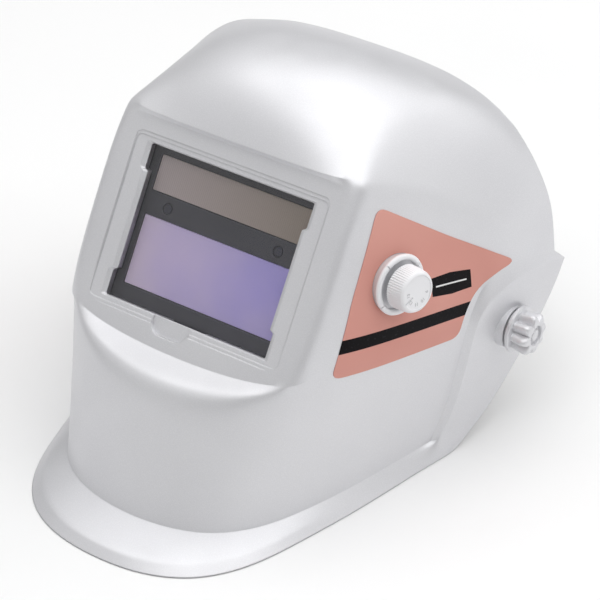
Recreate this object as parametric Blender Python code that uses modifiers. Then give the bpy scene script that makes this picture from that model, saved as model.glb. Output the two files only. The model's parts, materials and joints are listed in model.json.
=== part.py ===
"""Auto-darkening welding helmet: injection-moulded shell, darkening cartridge, shade control and headgear.

Metres, +Z up. +X is the wearer's left and -Y the front. The helmet stands on its lower rim at Z = 0, so
its face panel leans back. Sizes are written in millimetres and scaled by MM.
"""
import math

import bpy
import bmesh
from mathutils import Matrix, Vector

MM = 0.001

# ---- Driving dimensions, millimetres and degrees -------------------------------------------------
LEAN = 32.0                         # face panel, backwards from the vertical
WINDOW_Y, WINDOW_Z = -71.4, 125.5   # window centre in the finished frame
WALL = 2.5                          # shell wall
GAP = 0.3                           # clearance between touching pieces
OPENING_W, OPENING_H = 100.0, 78.6
CARTRIDGE_W, CARTRIDGE_H = 110.0, 90.0
HOLDER_W, HOLDER_H = 118.0, 98.0
VIEW_W, VIEW_H, VIEW_Y = 90.0, 36.0, -13.5      # viewing glass, from the window centre up the panel
SOLAR_W, SOLAR_H, SOLAR_Y = 90.0, 18.5, 25.7
SENSOR_X, SENSOR_Y = 33.0, 10.2
DIAL_X, DIAL_Y = 25.0, -38.3
PIVOT_Y, PIVOT_Z = 106.0, -62.0     # ear pivots, from the window centre
SEAT_OUT, SEAT_IN = 111.5, 105.2    # flat seats of the ear plates, from the middle plane
SHADE_AT, SHADE_AXIS = (84.5, 37.8, -7.8), (0.965, -0.22, 0.12)
HEAD_HALF_W, HEAD_HALF_L = 78.0, 101.0
HEAD_CENTRE_Y, HEAD_CENTRE_Z = 13.0, 7.0        # band centre, from the pivot axis
HEAD_TILT = 19.6                    # the band drops towards the nape
BAND_T, STRAP_T = 1.8, 1.6          # headband and strap thickness
FILM_T = 0.3                        # side decals
STRAP_IN = BAND_T + GAP             # straps lie over the band
RIVET_Y, RIVET_Z = 6.0, 16.0        # arm rivets, from the pivot axis
PINION_R, TOOTH_H, TEETH = 3.95, 0.55, 10


# ---- Materials -----------------------------------------------------------------------------------
def material(name, colour, roughness, metallic=0.0, alpha=1.0):
    made = bpy.data.materials.new(name)
    made.use_nodes = True
    shader = made.node_tree.nodes["Principled BSDF"]
    shader.inputs["Base Color"].default_value = (*colour, 1.0)
    shader.inputs["Roughness"].default_value = roughness
    shader.inputs["Metallic"].default_value = metallic
    shader.inputs["Alpha"].default_value = alpha
    return made


# ---- Scene helpers -------------------------------------------------------------------------------
def clear_scene():
    for thing in list(bpy.data.objects):
        bpy.data.objects.remove(thing, do_unlink=True)


def new_collection(name):
    made = bpy.data.collections.new(name)
    bpy.context.scene.collection.children.link(made)
    return made


def frame(name, origin, x_axis=(1, 0, 0), z_axis=(0, 0, 1)):
    """An empty at a point in millimetres from the window centre, with local Z and a nearby local X."""
    z = Vector(z_axis).normalized()
    x = Vector(x_axis)
    x = (x - z * x.dot(z)).normalized()
    y = z.cross(x)
    empty = bpy.data.objects.new(name, None)
    PARTS.objects.link(empty)
    turn = Matrix((x, y, z)).transposed().to_4x4()
    empty.matrix_world = Matrix.Translation(to_world(origin)) @ turn
    empty.empty_display_size = 0.02
    return empty


def to_world(point):
    """From millimetres about the window centre to the finished frame."""
    return Vector((point[0], point[1] + WINDOW_Y, point[2] + WINDOW_Z)) * MM


def add_object(name, mesh, paint, parent=None, collection=None):
    made = bpy.data.objects.new(name, mesh)
    (collection or PARTS).objects.link(made)
    if paint:
        mesh.materials.append(paint)
    if parent:
        made.parent = parent
    if collection is CUTTERS:
        made.hide_render = True
        made.display_type = "WIRE"
    return made


def mesh_from(name, build):
    """A mesh made by a function that fills a bmesh, in millimetres, shown smooth up to 35 degrees."""
    shape = bmesh.new()
    build(shape)
    bmesh.ops.scale(shape, vec=(MM, MM, MM), verts=shape.verts)
    bmesh.ops.recalc_face_normals(shape, faces=shape.faces)
    mesh = bpy.data.meshes.new(name)
    shape.to_mesh(mesh)
    shape.free()
    mesh.shade_smooth()
    mesh.set_sharp_from_angle(angle=math.radians(35))
    return mesh


# ---- Shapes --------------------------------------------------------------------------------------
def box(name, size, at, paint=None, parent=None, collection=None, bevel=0.0):
    """A box by its full sizes and its centre."""
    def build(shape):
        bmesh.ops.create_cube(shape, size=1.0)
        bmesh.ops.scale(shape, vec=size, verts=shape.verts)
        bmesh.ops.translate(shape, vec=at, verts=shape.verts)
    made = add_object(name, mesh_from(name, build), paint, parent, collection)
    if bevel:
        add_bevel(made, bevel)
    return made


def cylinder(name, radius, low, high, at=(0, 0), paint=None, parent=None, collection=None, sides=32,
             top_radius=None):
    """An upright cylinder or cone between two local heights."""
    def build(shape):
        bmesh.ops.create_cone(shape, cap_ends=True, segments=sides, radius1=radius,
                              radius2=radius if top_radius is None else top_radius, depth=high - low)
        bmesh.ops.translate(shape, vec=(at[0], at[1], (low + high) / 2), verts=shape.verts)
    return add_object(name, mesh_from(name, build), paint, parent, collection)


def turned(name, profile, paint=None, parent=None, collection=None, sides=32):
    """A solid of revolution about local Z from (radius, height) points, listed down the outer side."""
    mesh = bpy.data.meshes.new(name)
    points = [(radius * MM, 0, height * MM) for radius, height in profile]
    closed = profile[0][0] > 0
    edges = [(i, (i + 1) % len(points)) for i in range(len(points) if closed else len(points) - 1)]
    mesh.from_pydata(points, edges, [])
    made = add_object(name, mesh, paint, parent, collection)
    screw = made.modifiers.new("Turn", "SCREW")
    screw.axis = "Z"
    screw.steps = screw.render_steps = sides
    screw.use_merge_vertices = True
    screw.merge_threshold = 0.00001
    screw.use_smooth_shade = True
    return made


def plate(name, outline, low, high, paint=None, parent=None, collection=None):
    """A flat outline in the local XY plane, extruded between two local heights."""
    def build(shape):
        bottom = [shape.verts.new((x, y, low)) for x, y in outline]
        face = shape.faces.new(bottom)
        grown = bmesh.ops.extrude_face_region(shape, geom=[face])
        moved = [v for v in grown["geom"] if isinstance(v, bmesh.types.BMVert)]
        bmesh.ops.translate(shape, vec=(0, 0, high - low), verts=moved)
    return add_object(name, mesh_from(name, build), paint, parent, collection)


def loft(name, sections, paint=None, parent=None, collection=None):
    """A closed solid through sections with equal numbers of (x, y, z) points."""
    def build(shape):
        rings = [[shape.verts.new(point) for point in section] for section in sections]
        count = len(rings[0])
        for ring, following in zip(rings, rings[1:]):
            for i in range(count):
                j = (i + 1) % count
                shape.faces.new((ring[i], ring[j], following[j], following[i]))
        shape.faces.new(rings[0])
        shape.faces.new(reversed(rings[-1]))
    return add_object(name, mesh_from(name, build), paint, parent, collection)


def round_rectangle(width, height, radius, at=(0, 0), steps=4):
    """Corner arcs of a rounded rectangle, anticlockwise."""
    points = []
    for quarter, (sx, sy) in enumerate(((1, 1), (-1, 1), (-1, -1), (1, -1))):
        cx, cy = sx * (width / 2 - radius) + at[0], sy * (height / 2 - radius) + at[1]
        for step in range(steps + 1):
            angle = math.radians(90 * quarter + 90 * step / steps)
            points.append((cx + radius * math.cos(angle), cy + radius * math.sin(angle)))
    return points


def fluted_outline(radius, depth, count, steps=3):
    """A round outline with sine flutes."""
    total = count * 2 * steps
    return [((radius - depth * (0.5 - 0.5 * math.cos(2 * math.pi * i * count / total)))
             * math.cos(2 * math.pi * i / total),
             (radius - depth * (0.5 - 0.5 * math.cos(2 * math.pi * i * count / total)))
             * math.sin(2 * math.pi * i / total)) for i in range(total)]


def add_bevel(made, width, segments=1, angle=40):
    bevel = made.modifiers.new("Bevel", "BEVEL")
    bevel.width = width * MM
    bevel.segments = segments
    bevel.angle_limit = math.radians(angle)
    return made


def boolean(made, tool, operation="DIFFERENCE"):
    """The curved shell and its film are cut with the manifold solver, which keeps their long rims clean."""
    modifier = made.modifiers.new(tool.name, "BOOLEAN")
    modifier.operation = operation
    modifier.object = tool
    modifier.solver = "MANIFOLD" if made.name.startswith(("helmet_shell", "side_decal")) else "EXACT"
    if tool.name not in CUTTERS.objects:
        for holder in list(tool.users_collection):
            holder.objects.unlink(tool)
        CUTTERS.objects.link(tool)
        tool.hide_render = True
        tool.display_type = "WIRE"
    return made


# ---- Shell ---------------------------------------------------------------------------------------
# The cage of the shell's left half, in millimetres from the window centre. Each row runs from the
# centre line round to the rear rim: centre, cheek, window edge, panel edge, corner, shade control,
# foot of the ear step, top of the ear step, ear, rear rim.
SHELL_ROWS = [
    ("lip_edge", [(0, -96.5, -126), (28, -94, -126), (53, -81.5, -126), (69, -57, -126), (77, -27, -126),
                  (85.5, 4, -126), (94, 50, -126), (96, 59, -126), (98, 68, -126), (99, 77, -125.5)]),
    ("lip_line", [(0, -91, -121.5), (26.5, -87.5, -121.5), (49, -75.5, -121.5), (65, -52.5, -121.5),
                  (73.5, -25, -121.5), (82, 5, -121.5), (91.5, 52, -121.5), (95.5, 61, -121),
                  (98.5, 74, -120), (100.5, 86, -120)]),
    ("chin_crease", [(0, -69.5, -116.5), (25, -66.5, -116.5), (46, -57.5, -116.5), (61.5, -39, -116.5),
                     (70, -18, -116.5), (79, 9, -116.5), (91, 61, -116), (95, 66.5, -115.5),
                     (99.5, 84, -113), (102.5, 100, -113)]),
    ("chin", [(0, -61, -92), (25, -58, -92), (46.5, -50, -92), (63.5, -33, -91), (73, -13, -90),
              (83, 15, -90), (95, 72.5, -93), (99, 76.5, -93), (105, 99, -92), (107, 119, -92)]),
    ("ledge_edge", [(0, -50, -47), (25, -47, -46.5), (47, -39, -45), (65, -24.5, -43), (76, -9, -41.5),
                    (87, 20, -45), (98.5, 76.5, -61), (102.5, 80.5, -61.5), (110.5, 106, -62.6),
                    (112, 139, -65)]),
    ("ledge_crease", [(0, -29.5, -46), (25, -29, -45.5), (50, -27, -43.5), (68, -22, -40), (75.5, -7, -36.5),
                      (85.5, 22, -33), (100, 78, -50), (104, 82.5, -51), (112.5, 110, -48),
                      (114.3, 145, -50)]),
    ("panel_low", [(0, -15.6, -25), (25, -15.6, -25), (51, -15.6, -25), (69.5, -14.8, -24.5),
                   (75, -1, -21), (84.5, 26, -18), (100.5, 81.5, -42), (105, 88, -41), (113.3, 112, -30),
                   (115.5, 147.5, -41)]),
    ("panel_high", [(0, 9.4, 15), (25, 9.4, 15), (51, 9.4, 15), (70, 10, 15.4), (74, 20.5, 15),
                    (83.5, 43, 8), (101.5, 87.5, -34), (105, 95, -28), (109, 114, -24),
                    (113, 141, -34.5)]),
    ("panel_top", [(0, 27.2, 43.5), (25, 27.2, 43.5), (51, 27.3, 43.6), (70, 27.8, 43.8), (72.5, 37, 40.5),
                   (80.5, 59, 31), (99.5, 92, 2), (103.5, 101, -2), (108, 118, -7), (111, 141, -17)]),
    ("brow", [(0, 26.2, 46.2), (25, 26.2, 46.2), (50.5, 26.6, 46.4), (68, 28.3, 46.5), (70.5, 38.5, 43.5),
              (78.5, 61, 35), (97.5, 94, 9), (101.5, 103, 5), (106.5, 120, 1), (109, 141, -7)]),
    ("forehead", [(0, 38, 61.5), (25, 38.5, 61), (47, 41, 58.5), (59.5, 46.5, 55), (66, 57, 50.5),
                  (74, 75, 42.5), (90, 100, 27), (95, 109, 21.5), (101, 124, 14.5), (104, 141, 5)]),
    ("dome_front", [(0, 61, 75.5), (24, 62, 74.5), (42.5, 66.5, 69), (54.5, 74, 62.5), (62, 83, 57.5),
                    (70, 95, 51), (82, 110, 41.5), (87, 118, 35.5), (92.5, 129, 28.5), (95.5, 141, 18.5)]),
    ("dome_rear", [(0, 99, 73.5), (23, 100, 72.5), (41, 103, 67), (52, 107, 62), (59, 111, 58),
                   (68, 117, 53.5), (75, 124, 46), (79, 128, 42), (83.5, 134, 36), (86, 141, 29.5)]),
    ("crown_rim", [(0, 139, 50.5), (24, 139.5, 50), (43, 140, 48), (53, 140, 46), (59.5, 140.2, 44),
                   (65, 140.5, 42), (70, 140.8, 39.5), (73.5, 141, 37.5), (78, 141, 35), (82.5, 141, 31.5)]),
]
# How sharp each row's fold is along the given columns, 0 to 1.
ROW_FOLDS = {
    "lip_line": (0.5, 0, 7), "chin_crease": (0.9, 0, 7), "ledge_edge": (0.35, 0, 3),
    "ledge_crease": (1.0, 0, 4), "panel_top": (1.0, 0, 3), "brow": (1.0, 0, 3),
}
PLATE_TOP_ROW, PLATE_FOOT_ROW = "panel_low", "panel_high"
FOOT_COLUMN, TOP_COLUMN = 6, 7


def shell_cage(name, paint, collection=None):
    """The left half of the outer surface as a coarse cage with its folds marked, open at X = 0."""
    shape = bmesh.new()
    grid = [[shape.verts.new(to_world(point)) for point in row] for _, row in SHELL_ROWS]
    for low, high in zip(grid, grid[1:]):
        for i in range(len(low) - 1):
            shape.faces.new((low[i], low[i + 1], high[i + 1], high[i]))
    crease = shape.edges.layers.float.new("crease_edge")
    names = [row_name for row_name, _ in SHELL_ROWS]

    def fold(a, b, amount):
        edge = shape.edges.get((a, b))
        edge[crease] = max(edge[crease], amount)

    for row_name, (amount, first, last) in ROW_FOLDS.items():
        row = grid[names.index(row_name)]
        for i in range(first, last):
            fold(row[i], row[i + 1], amount)
    top, foot = names.index(PLATE_TOP_ROW), names.index(PLATE_FOOT_ROW)
    for i in range(TOP_COLUMN, len(grid[0]) - 1):
        fold(grid[top][i], grid[top][i + 1], 0.7)
        fold(grid[foot][i], grid[foot][i + 1], 0.7)
    fold(grid[foot][FOOT_COLUMN], grid[foot][TOP_COLUMN], 0.7)
    for j in range(names.index("chin_crease"), foot):
        fold(grid[j][FOOT_COLUMN], grid[j + 1][FOOT_COLUMN], 0.7)
        if j < top:
            fold(grid[j][TOP_COLUMN], grid[j + 1][TOP_COLUMN], 0.7)
    for j in range(names.index("ledge_crease"), names.index("panel_top")):
        fold(grid[j][3], grid[j + 1][3], 0.35)
    bmesh.ops.recalc_face_normals(shape, faces=shape.faces)
    if shape.faces[0].normal.dot(shape.faces[0].calc_center_median() - to_world((0, 60, -60))) < 0:
        bmesh.ops.reverse_faces(shape, faces=shape.faces)
    mesh = bpy.data.meshes.new(name)
    shape.to_mesh(mesh)
    shape.free()
    mesh.shade_smooth()
    return add_object(name, mesh, paint, None, collection)


def add_facets(made):
    """Splits every face the same way on the shell and on the film that follows it."""
    facets = made.modifiers.new("Facets", "TRIANGULATE")
    facets.quad_method = "SHORTEST_DIAGONAL"
    facets.ngon_method = "BEAUTY"


def build_shell():
    shell = shell_cage("helmet_shell", SHELL_PLASTIC)
    mirror = shell.modifiers.new("Both halves", "MIRROR")
    mirror.use_clip = True
    mirror.merge_threshold = 0.00001
    smooth = shell.modifiers.new("Round", "SUBSURF")
    smooth.levels = smooth.render_levels = 1
    add_facets(shell)
    wall = shell.modifiers.new("Wall", "SOLIDIFY")
    wall.thickness = WALL * MM
    wall.offset = -1.0
    wall.use_even_offset = True
    return shell



def axis_frame(name, side):
    """Frame on the pivot axis whose local Z points outwards at one ear, so heights are |X|."""
    return frame(name, (0, PIVOT_Y, PIVOT_Z), x_axis=(0, 1, 0), z_axis=(side, 0, 0))


def ring_body(name, rings, sides, paint=None, parent=None, collection=None, bored=False):
    """A solid through rings of (radius, height); a radius may be a function of the angle.
    A bored body closes from the last ring to the first; any other body has flat ends."""
    def build(shape):
        loops = []
        for radius, height in rings:
            loop = []
            for i in range(sides):
                angle = 2 * math.pi * i / sides
                r = radius(angle) if callable(radius) else radius
                loop.append(shape.verts.new((r * math.cos(angle), r * math.sin(angle), height)))
            loops.append(loop)
        pairs = list(zip(loops, loops[1:]))
        if bored:
            pairs.append((loops[-1], loops[0]))
        for low, high in pairs:
            for i in range(sides):
                j = (i + 1) % sides
                shape.faces.new((low[i], low[j], high[j], high[i]))
        if not bored:
            shape.faces.new(reversed(loops[0]))
            shape.faces.new(loops[-1])
    return add_object(name, mesh_from(name, build), paint, parent, collection)


def wave(radius, depth, count, sign=1):
    """A radius that varies between radius - depth and radius, count times a turn."""
    return lambda angle: radius - depth * (0.5 - sign * 0.5 * math.cos(count * angle))


def band_point(angle, offset, height):
    """A point off the head ellipse, in the band frame; 0 degrees is the left temple, 90 the nape."""
    turn = math.radians(angle)
    x, y = HEAD_HALF_W * math.cos(turn), HEAD_HALF_L * math.sin(turn)
    normal = Vector((math.cos(turn) / HEAD_HALF_W, math.sin(turn) / HEAD_HALF_L)).normalized()
    return (x + normal.x * offset, y + normal.y * offset, height)


def ribbon(name, stations, paint, parent):
    """A strap round the head: each station is an angle and its section of (offset, height) points."""
    return loft(name, [[band_point(angle, off, z) for off, z in section] for angle, section in stations],
                paint, parent)


def flat_section(inner, outer, low, high):
    return [(inner, low), (outer, low), (outer, high), (inner, high)]


def spread(first, last, count):
    return [first + (last - first) * i / count for i in range(count + 1)]


# ---- Optics, in the panel frame: local Z = 0 is the panel's outer face ----------------------------
def opening_outline():
    """The window: side tabs reach inwards between the corners, and a finger notch dips below it."""
    half_w, half_h, tab, tab_z, notch, notch_depth = OPENING_W / 2, OPENING_H / 2, 2.2, 26.0, 10.0, 8.0
    return [(half_w, half_h), (-half_w, half_h), (-half_w, tab_z), (-half_w + tab, tab_z - 1),
            (-half_w + tab, -tab_z + 1), (-half_w, -tab_z), (-half_w, -half_h), (-notch, -half_h),
            (-notch, -half_h - notch_depth + 3), (-notch + 3, -half_h - notch_depth),
            (notch - 3, -half_h - notch_depth), (notch, -half_h - notch_depth + 3), (notch, -half_h),
            (half_w, -half_h), (half_w, -tab_z), (half_w - tab, -tab_z + 1), (half_w - tab, tab_z - 1),
            (half_w, tab_z)]


def cut_shell(shell, panel, shade, ears):
    rim = frame("rim_frame", (0, 0, -WINDOW_Z))
    boolean(shell, box("cut_rim", (400, 500, 40), (0, 0, -20), None, rim, CUTTERS))
    opening = plate("cut_opening", opening_outline(), -8, 8, None, panel, CUTTERS)
    boolean(shell, opening)
    recess = plate("cut_recess", round_rectangle(114, 87, 4), -0.6, 6, None, panel, CUTTERS)
    boolean(shell, recess)
    for i, (x, y) in enumerate(holder_screw_places()):
        boss = cylinder(f"boss_{i}", 3.2, -7.5, -1.5, (x, y), None, panel, CUTTERS, 16)
        boolean(shell, boss, "UNION")
        boolean(shell, cylinder(f"cut_boss_{i}", 1.6, -9, -3.2, (x, y), None, panel, CUTTERS, 12))
    for side, ear in ears.items():
        seat = cylinder(f"seat_{side}", 11, SEAT_IN, SEAT_OUT, (0, 0), None, ear, CUTTERS, 32)
        boolean(shell, seat, "UNION")
        boolean(shell, cylinder(f"face_seat_{side}", 12, 90, SEAT_IN, (0, 0), None, ear, CUTTERS, 32))
        boolean(shell, cylinder(f"cut_pivot_{side}", 4.2, 95, 125, (0, 0), None, ear, CUTTERS, 24))
    boolean(shell, cylinder("shade_boss", 14.6, -2.2, 1.6, (0, 0), None, shade, CUTTERS, 36), "UNION")
    boolean(shell, cylinder("shade_inner_boss", 10.5, -4.5, -1.0, (0, 0), None, shade, CUTTERS, 32), "UNION")
    boolean(shell, cylinder("cut_shade", 4.0, -12, 8, (0, 0), None, shade, CUTTERS, 20))


def holder_screw_places():
    return [(x, y) for x in (-63.0, 63.0) for y in (-34.0, 34.0)]


def build_optics(panel):
    plate("cover_lens", round_rectangle(108, 84, 2, (0, 1)), -4.7, -3.2, CLEAR, panel)
    holder = box("filter_holder", (HOLDER_W, HOLDER_H, 22.0), (0, 0, -16.0), SHELL_PLASTIC, panel)
    boolean(holder, plate("cut_holder_window", opening_outline(), -12, 0, None, panel, CUTTERS))
    boolean(holder, box("cut_pocket", (CARTRIDGE_W + 1, CARTRIDGE_H + 1, 24), (0, 0, -21), None, panel,
                        CUTTERS))
    for i, (x, y) in enumerate(holder_screw_places()):
        tab = box(f"holder_tab_{i}", (9, 8, 2.6), (x - math.copysign(0.2, x), y, -9.2), None, panel, CUTTERS)
        boolean(holder, tab, "UNION")
        boolean(holder, cylinder(f"cut_tab_{i}", 1.6, -12, -6, (x, y), None, panel, CUTTERS, 12))
        screw = ring_body(f"holder_screw_{i + 1}", [(2.6, -12.3), (2.6, -10.9), (1.2, -10.8), (1.2, -3.7)],
                          12, STEEL, panel)
        screw.location = (x * MM, y * MM, 0)
    boolean(holder, box("cut_latch_slots", (140, 8.8, 2.9), (0, 0, -23.3), None, panel, CUTTERS))
    boolean(holder, cylinder("cut_cable_hole", 2.2, 50, 64, (15.5, 6), None,
                             turned_child(panel), CUTTERS, 12))

    front = box("filter_case_front", (CARTRIDGE_W, CARTRIDGE_H, 3.3), (0, 0, -10.95), CASE_BLACK, panel)
    boolean(front, box("cut_view_front", (VIEW_W, VIEW_H, 8), (0, VIEW_Y, -11), None, panel, CUTTERS))
    boolean(front, box("cut_solar", (SOLAR_W, SOLAR_H, 4), (0, SOLAR_Y, -9.3), None, panel, CUTTERS))
    plate("solar_cell", round_rectangle(SOLAR_W - 0.6, SOLAR_H - 0.6, 0.5, (0, SOLAR_Y)), -11.0, -9.7, SOLAR, panel)
    plate("uv_ir_glass", round_rectangle(VIEW_W - 0.6, VIEW_H - 0.6, 0.5, (0, VIEW_Y)), -12.4, -10.1,
          GLASS_PURPLE, panel)
    for name, x in (("light_sensor_left", SENSOR_X), ("light_sensor_right", -SENSOR_X)):
        boolean(front, cylinder("cut_" + name, 2.8, -11.3, -8, (x, SENSOR_Y), None, panel, CUTTERS, 16))
        cylinder(name, 2.5, -11.0, -9.5, (x, SENSOR_Y), SENSOR_GLASS, panel, None, 16)

    back = box("filter_case_back", (CARTRIDGE_W, CARTRIDGE_H, 5.3), (0, 0, -15.55), CASE_BLACK, panel)
    boolean(back, box("cut_case_cavity", (106, 86, 4), (0, 0, -14.5), None, panel, CUTTERS))
    boolean(back, box("cut_view_back", (VIEW_W, VIEW_H, 8), (0, VIEW_Y, -18), None, panel, CUTTERS))
    plate("lcd_shutter", round_rectangle(98, 43, 1, (0, VIEW_Y)), -16.1, -13.2, LCD, panel)
    plate("circuit_board", round_rectangle(100, 24, 1, (0, 27)), -15.8, -14.4, BOARD, panel)
    plate("inner_lens", round_rectangle(96, 42, 1, (0, VIEW_Y)), -19.5, -18.5, CLEAR, panel)
    frame_plate = plate("retaining_frame", round_rectangle(110.4, 90.4, 2), -21.8, -19.8, CASE_BLACK, panel)
    boolean(frame_plate, box("cut_view_frame", (91, 37, 8), (0, VIEW_Y, -21), None, panel, CUTTERS))
    for name, x in (("sensitivity_dial", -DIAL_X), ("delay_dial", DIAL_X)):
        boolean(frame_plate, cylinder("cut_frame_" + name, 4.0, -24, -18, (x, DIAL_Y), None, panel,
                                      CUTTERS, 20))
        boolean(back, cylinder("cut_case_" + name, 1.8, -20, -15, (x, DIAL_Y), None, panel, CUTTERS, 12))
        dial = ring_body(name, [(wave(3.3, 0.5, 10), -21.4), (wave(3.3, 0.5, 10), -18.6), (1.5, -18.5),
                                (1.5, -17.0)], 20, CASE_GREY, panel)
        dial.location = (x * MM, DIAL_Y * MM, 0)
    for name, side in (("latch_left", 1), ("latch_right", -1)):
        slide = box(name, (11.4, 8, 2.3), (side * 53.0, 0, -23.3), CASE_GREY, panel)
        boolean(slide, box(name + "_grip", (2, 7.4, 1.8), (side * 49, 0, -24.9), None, panel, CUTTERS),
                "UNION")


def turned_child(panel):
    """The panel frame turned so that local Z runs along the panel's local X: (x, y) is (-height, y)."""
    made = bpy.data.objects.new("panel_side_frame", None)
    PARTS.objects.link(made)
    made.parent = panel
    made.rotation_euler = (0, math.radians(90), 0)
    return made


# ---- Shade control, in its own frame on the wearer's left side -------------------------------------
def hexagon(across):
    """The radius of a hexagonal nut, from its width across the flats."""
    return lambda angle: across / 2 / math.cos((angle + math.pi / 6) % (math.pi / 3) - math.pi / 6)


def cable_exit(shade):
    """Where the lead leaves the cover: local Z points forwards, out of the cover's side."""
    made = bpy.data.objects.new("cable_exit_frame", None)
    PARTS.objects.link(made)
    made.parent = shade
    made.location = (0, 0, -10.6 * MM)
    made.rotation_euler = (0, math.radians(-90), 0)
    return made


def build_shade_control(shade):
    ring_body("shade_bezel", [(15.3, 1.9), (15.3, 2.9), (14.6, 3.5), (12.6, 3.5), (12.0, 2.9), (12.0, 1.9)],
              32, WHITE_PLASTIC, shade, None, True)
    ring_body("shade_pot_nut", [(hexagon(10), 1.9), (hexagon(10), 3.7), (4.1, 3.7), (4.1, 1.9)], 24, STEEL,
              shade, None, True)
    ring_body("shade_pot", [(8.2, -12.5), (8.2, -4.9), (3.7, -4.9), (3.7, 4.2), (3.2, 4.2), (3.2, -9.0)],
              24, STEEL, shade)
    ring_body("shade_shaft", [(2.9, -8.6), (2.9, 13.2)], 20, STEEL, shade)
    flutes = wave(10.6, 0.7, 20)
    ring_body("shade_knob", [(wave(10.9, 0.7, 20), 4.7), (flutes, 13.6), (9.6, 14.4), (8.8, 15.0),
                             (8.6, 14.6)], 40, WHITE_PLASTIC, shade)
    knob = bpy.data.objects["shade_knob"]
    boolean(knob, cylinder("cut_knob_bore", 3.2, 3, 13.6, (0, 0), None, shade, CUTTERS, 20))
    cover = box("shade_cover", (24, 22, 9.5), (0, 0, -10.2), CASE_BLACK, shade)
    boolean(cover, box("cut_cover", (21, 19, 9.5), (0, 0, -8.8), None, shade, CUTTERS))
    boolean(cover, cylinder("cut_cover_cable", 1.9, 6, 16, (0, 0), None, cable_exit(shade), CUTTERS, 12))


def build_cable(panel, shade):
    """The lead from the cartridge's side to the shade cover, held at both ends."""
    bpy.context.view_layer.update()
    ends = [panel.matrix_world @ (Vector(p) * MM) for p in ((55.6, 6, -15.5), (58.6, 6, -15.5), (61.6, 6, -15.5))]
    ends += [shade.matrix_world @ (Vector(p) * MM) for p in ((-16.0, 0, -10.6), (-9.9, 0, -10.6))]
    curve = bpy.data.curves.new("shade_cable", "CURVE")
    curve.dimensions = "3D"
    curve.bevel_depth = 1.2 * MM
    curve.bevel_resolution = 2
    curve.use_fill_caps = True
    spline = curve.splines.new("POLY")
    points = smooth_route(ends, 4)
    spline.points.add(len(points) - 1)
    for point, at in zip(spline.points, points):
        point.co = (*at, 1)
    cable = bpy.data.objects.new("shade_cable", curve)
    PARTS.objects.link(cable)
    curve.materials.append(CASE_BLACK)


def smooth_route(points, steps):
    """Points along a Catmull-Rom curve through the route's own points."""
    ends = [2 * points[0] - points[1]] + points + [2 * points[-1] - points[-2]]
    route = []
    for a, b, c, d in zip(ends, ends[1:], ends[2:], ends[3:]):
        for step in range(steps):
            t = step / steps
            route.append(0.5 * (2 * b + (c - a) * t + (2 * a - 5 * b + 4 * c - d) * t * t
                                + (3 * b - a - 3 * c + d) * t ** 3))
    return route + [points[-1]]


# ---- Side decals: thin films that follow the shell's sides ----------------------------------------
DECAL = [(36, 31.5), (72, 3.5), (104, -22), (95, -25.5), (84, -33.5), (77, -43.5), (73.5, -54.5),
         (6, -44.2), (0.5, -42), (-2.5, -37), (-1, -31), (12.5, -6.6)]


def build_decal(name, side, shade):
    film = shell_cage(name, DECAL_SALMON)
    if side < 0:
        film.data.transform(Matrix.Scale(-1, 4, (1, 0, 0)))
        film.data.flip_normals()
    smooth = film.modifiers.new("Round", "SUBSURF")
    smooth.levels = smooth.render_levels = 1
    add_facets(film)
    film_wall = film.modifiers.new("Film", "SOLIDIFY")
    film_wall.thickness = FILM_T * MM
    film_wall.offset = 1 + 2 * GAP / FILM_T     # the film starts GAP outside the shell
    film_wall.use_even_offset = True
    outline = frame("decal_outline_" + name, (0, 0, 0), x_axis=(0, 1, 0), z_axis=(1, 0, 0))
    low, high = sorted((60 * side, 120 * side))
    boolean(film, plate("cut_" + name, DECAL, low, high, None, outline, CUTTERS), "INTERSECT")
    if shade:
        boolean(film, cylinder("cut_hole_" + name, 15.6, -6, 8, (0, 0), None, shade, CUTTERS, 36))
    add_facets(film)


# ---- Ear pivots ------------------------------------------------------------------------------------
def build_ear(name, ear):
    flange = SEAT_OUT + 1.6
    lobes = wave(11.3, 3.4, 8)
    ring_body(f"tension_knob_{name}",
              [(12.2, flange), (12.2, flange + 1.8), (wave(9.6, 2.4, 8), flange + 2.2),
               (lobes, flange + 9.5), (wave(10.4, 3.0, 8), flange + 11.2), (5.6, flange + 11.8),
               (4.9, flange + 11.6), (4.9, flange + 7.5), (3.8, flange + 7.5), (3.8, flange)],
              32, SHELL_PLASTIC, ear, None, True)
    ring_body(f"thrust_washer_{name}", [(10, SEAT_OUT + 0.3), (10, SEAT_OUT + 1.3), (4.3, SEAT_OUT + 1.3),
                                        (4.3, SEAT_OUT + 0.3)], 28, STEEL, ear, None, True)
    stud = ring_body(f"pivot_stud_{name}", [(3.5, SEAT_IN - 8.9), (3.5, flange + 9.0)], 20, STEEL, ear)
    head = box(f"stud_head_{name}", (11, 11, 2.4), (0, 0, SEAT_IN - 8.3), None, ear, CUTTERS)
    boolean(stud, head, "UNION")
    ring_body(f"friction_washer_{name}", washer(10.5, SEAT_IN - 1.8, SEAT_IN - 0.4), 28, CASE_GREY, ear,
              None, True)
    ring_body(f"tilt_stop_{name}", washer(wave(13.0, 1.0, 14), SEAT_IN - 4.0, SEAT_IN - 2.1), 28, CASE_BLACK,
              ear, None, True)


def washer(radius, low, high):
    return [(radius, low), (radius, high), (4.1, high), (4.1, low)]


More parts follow.
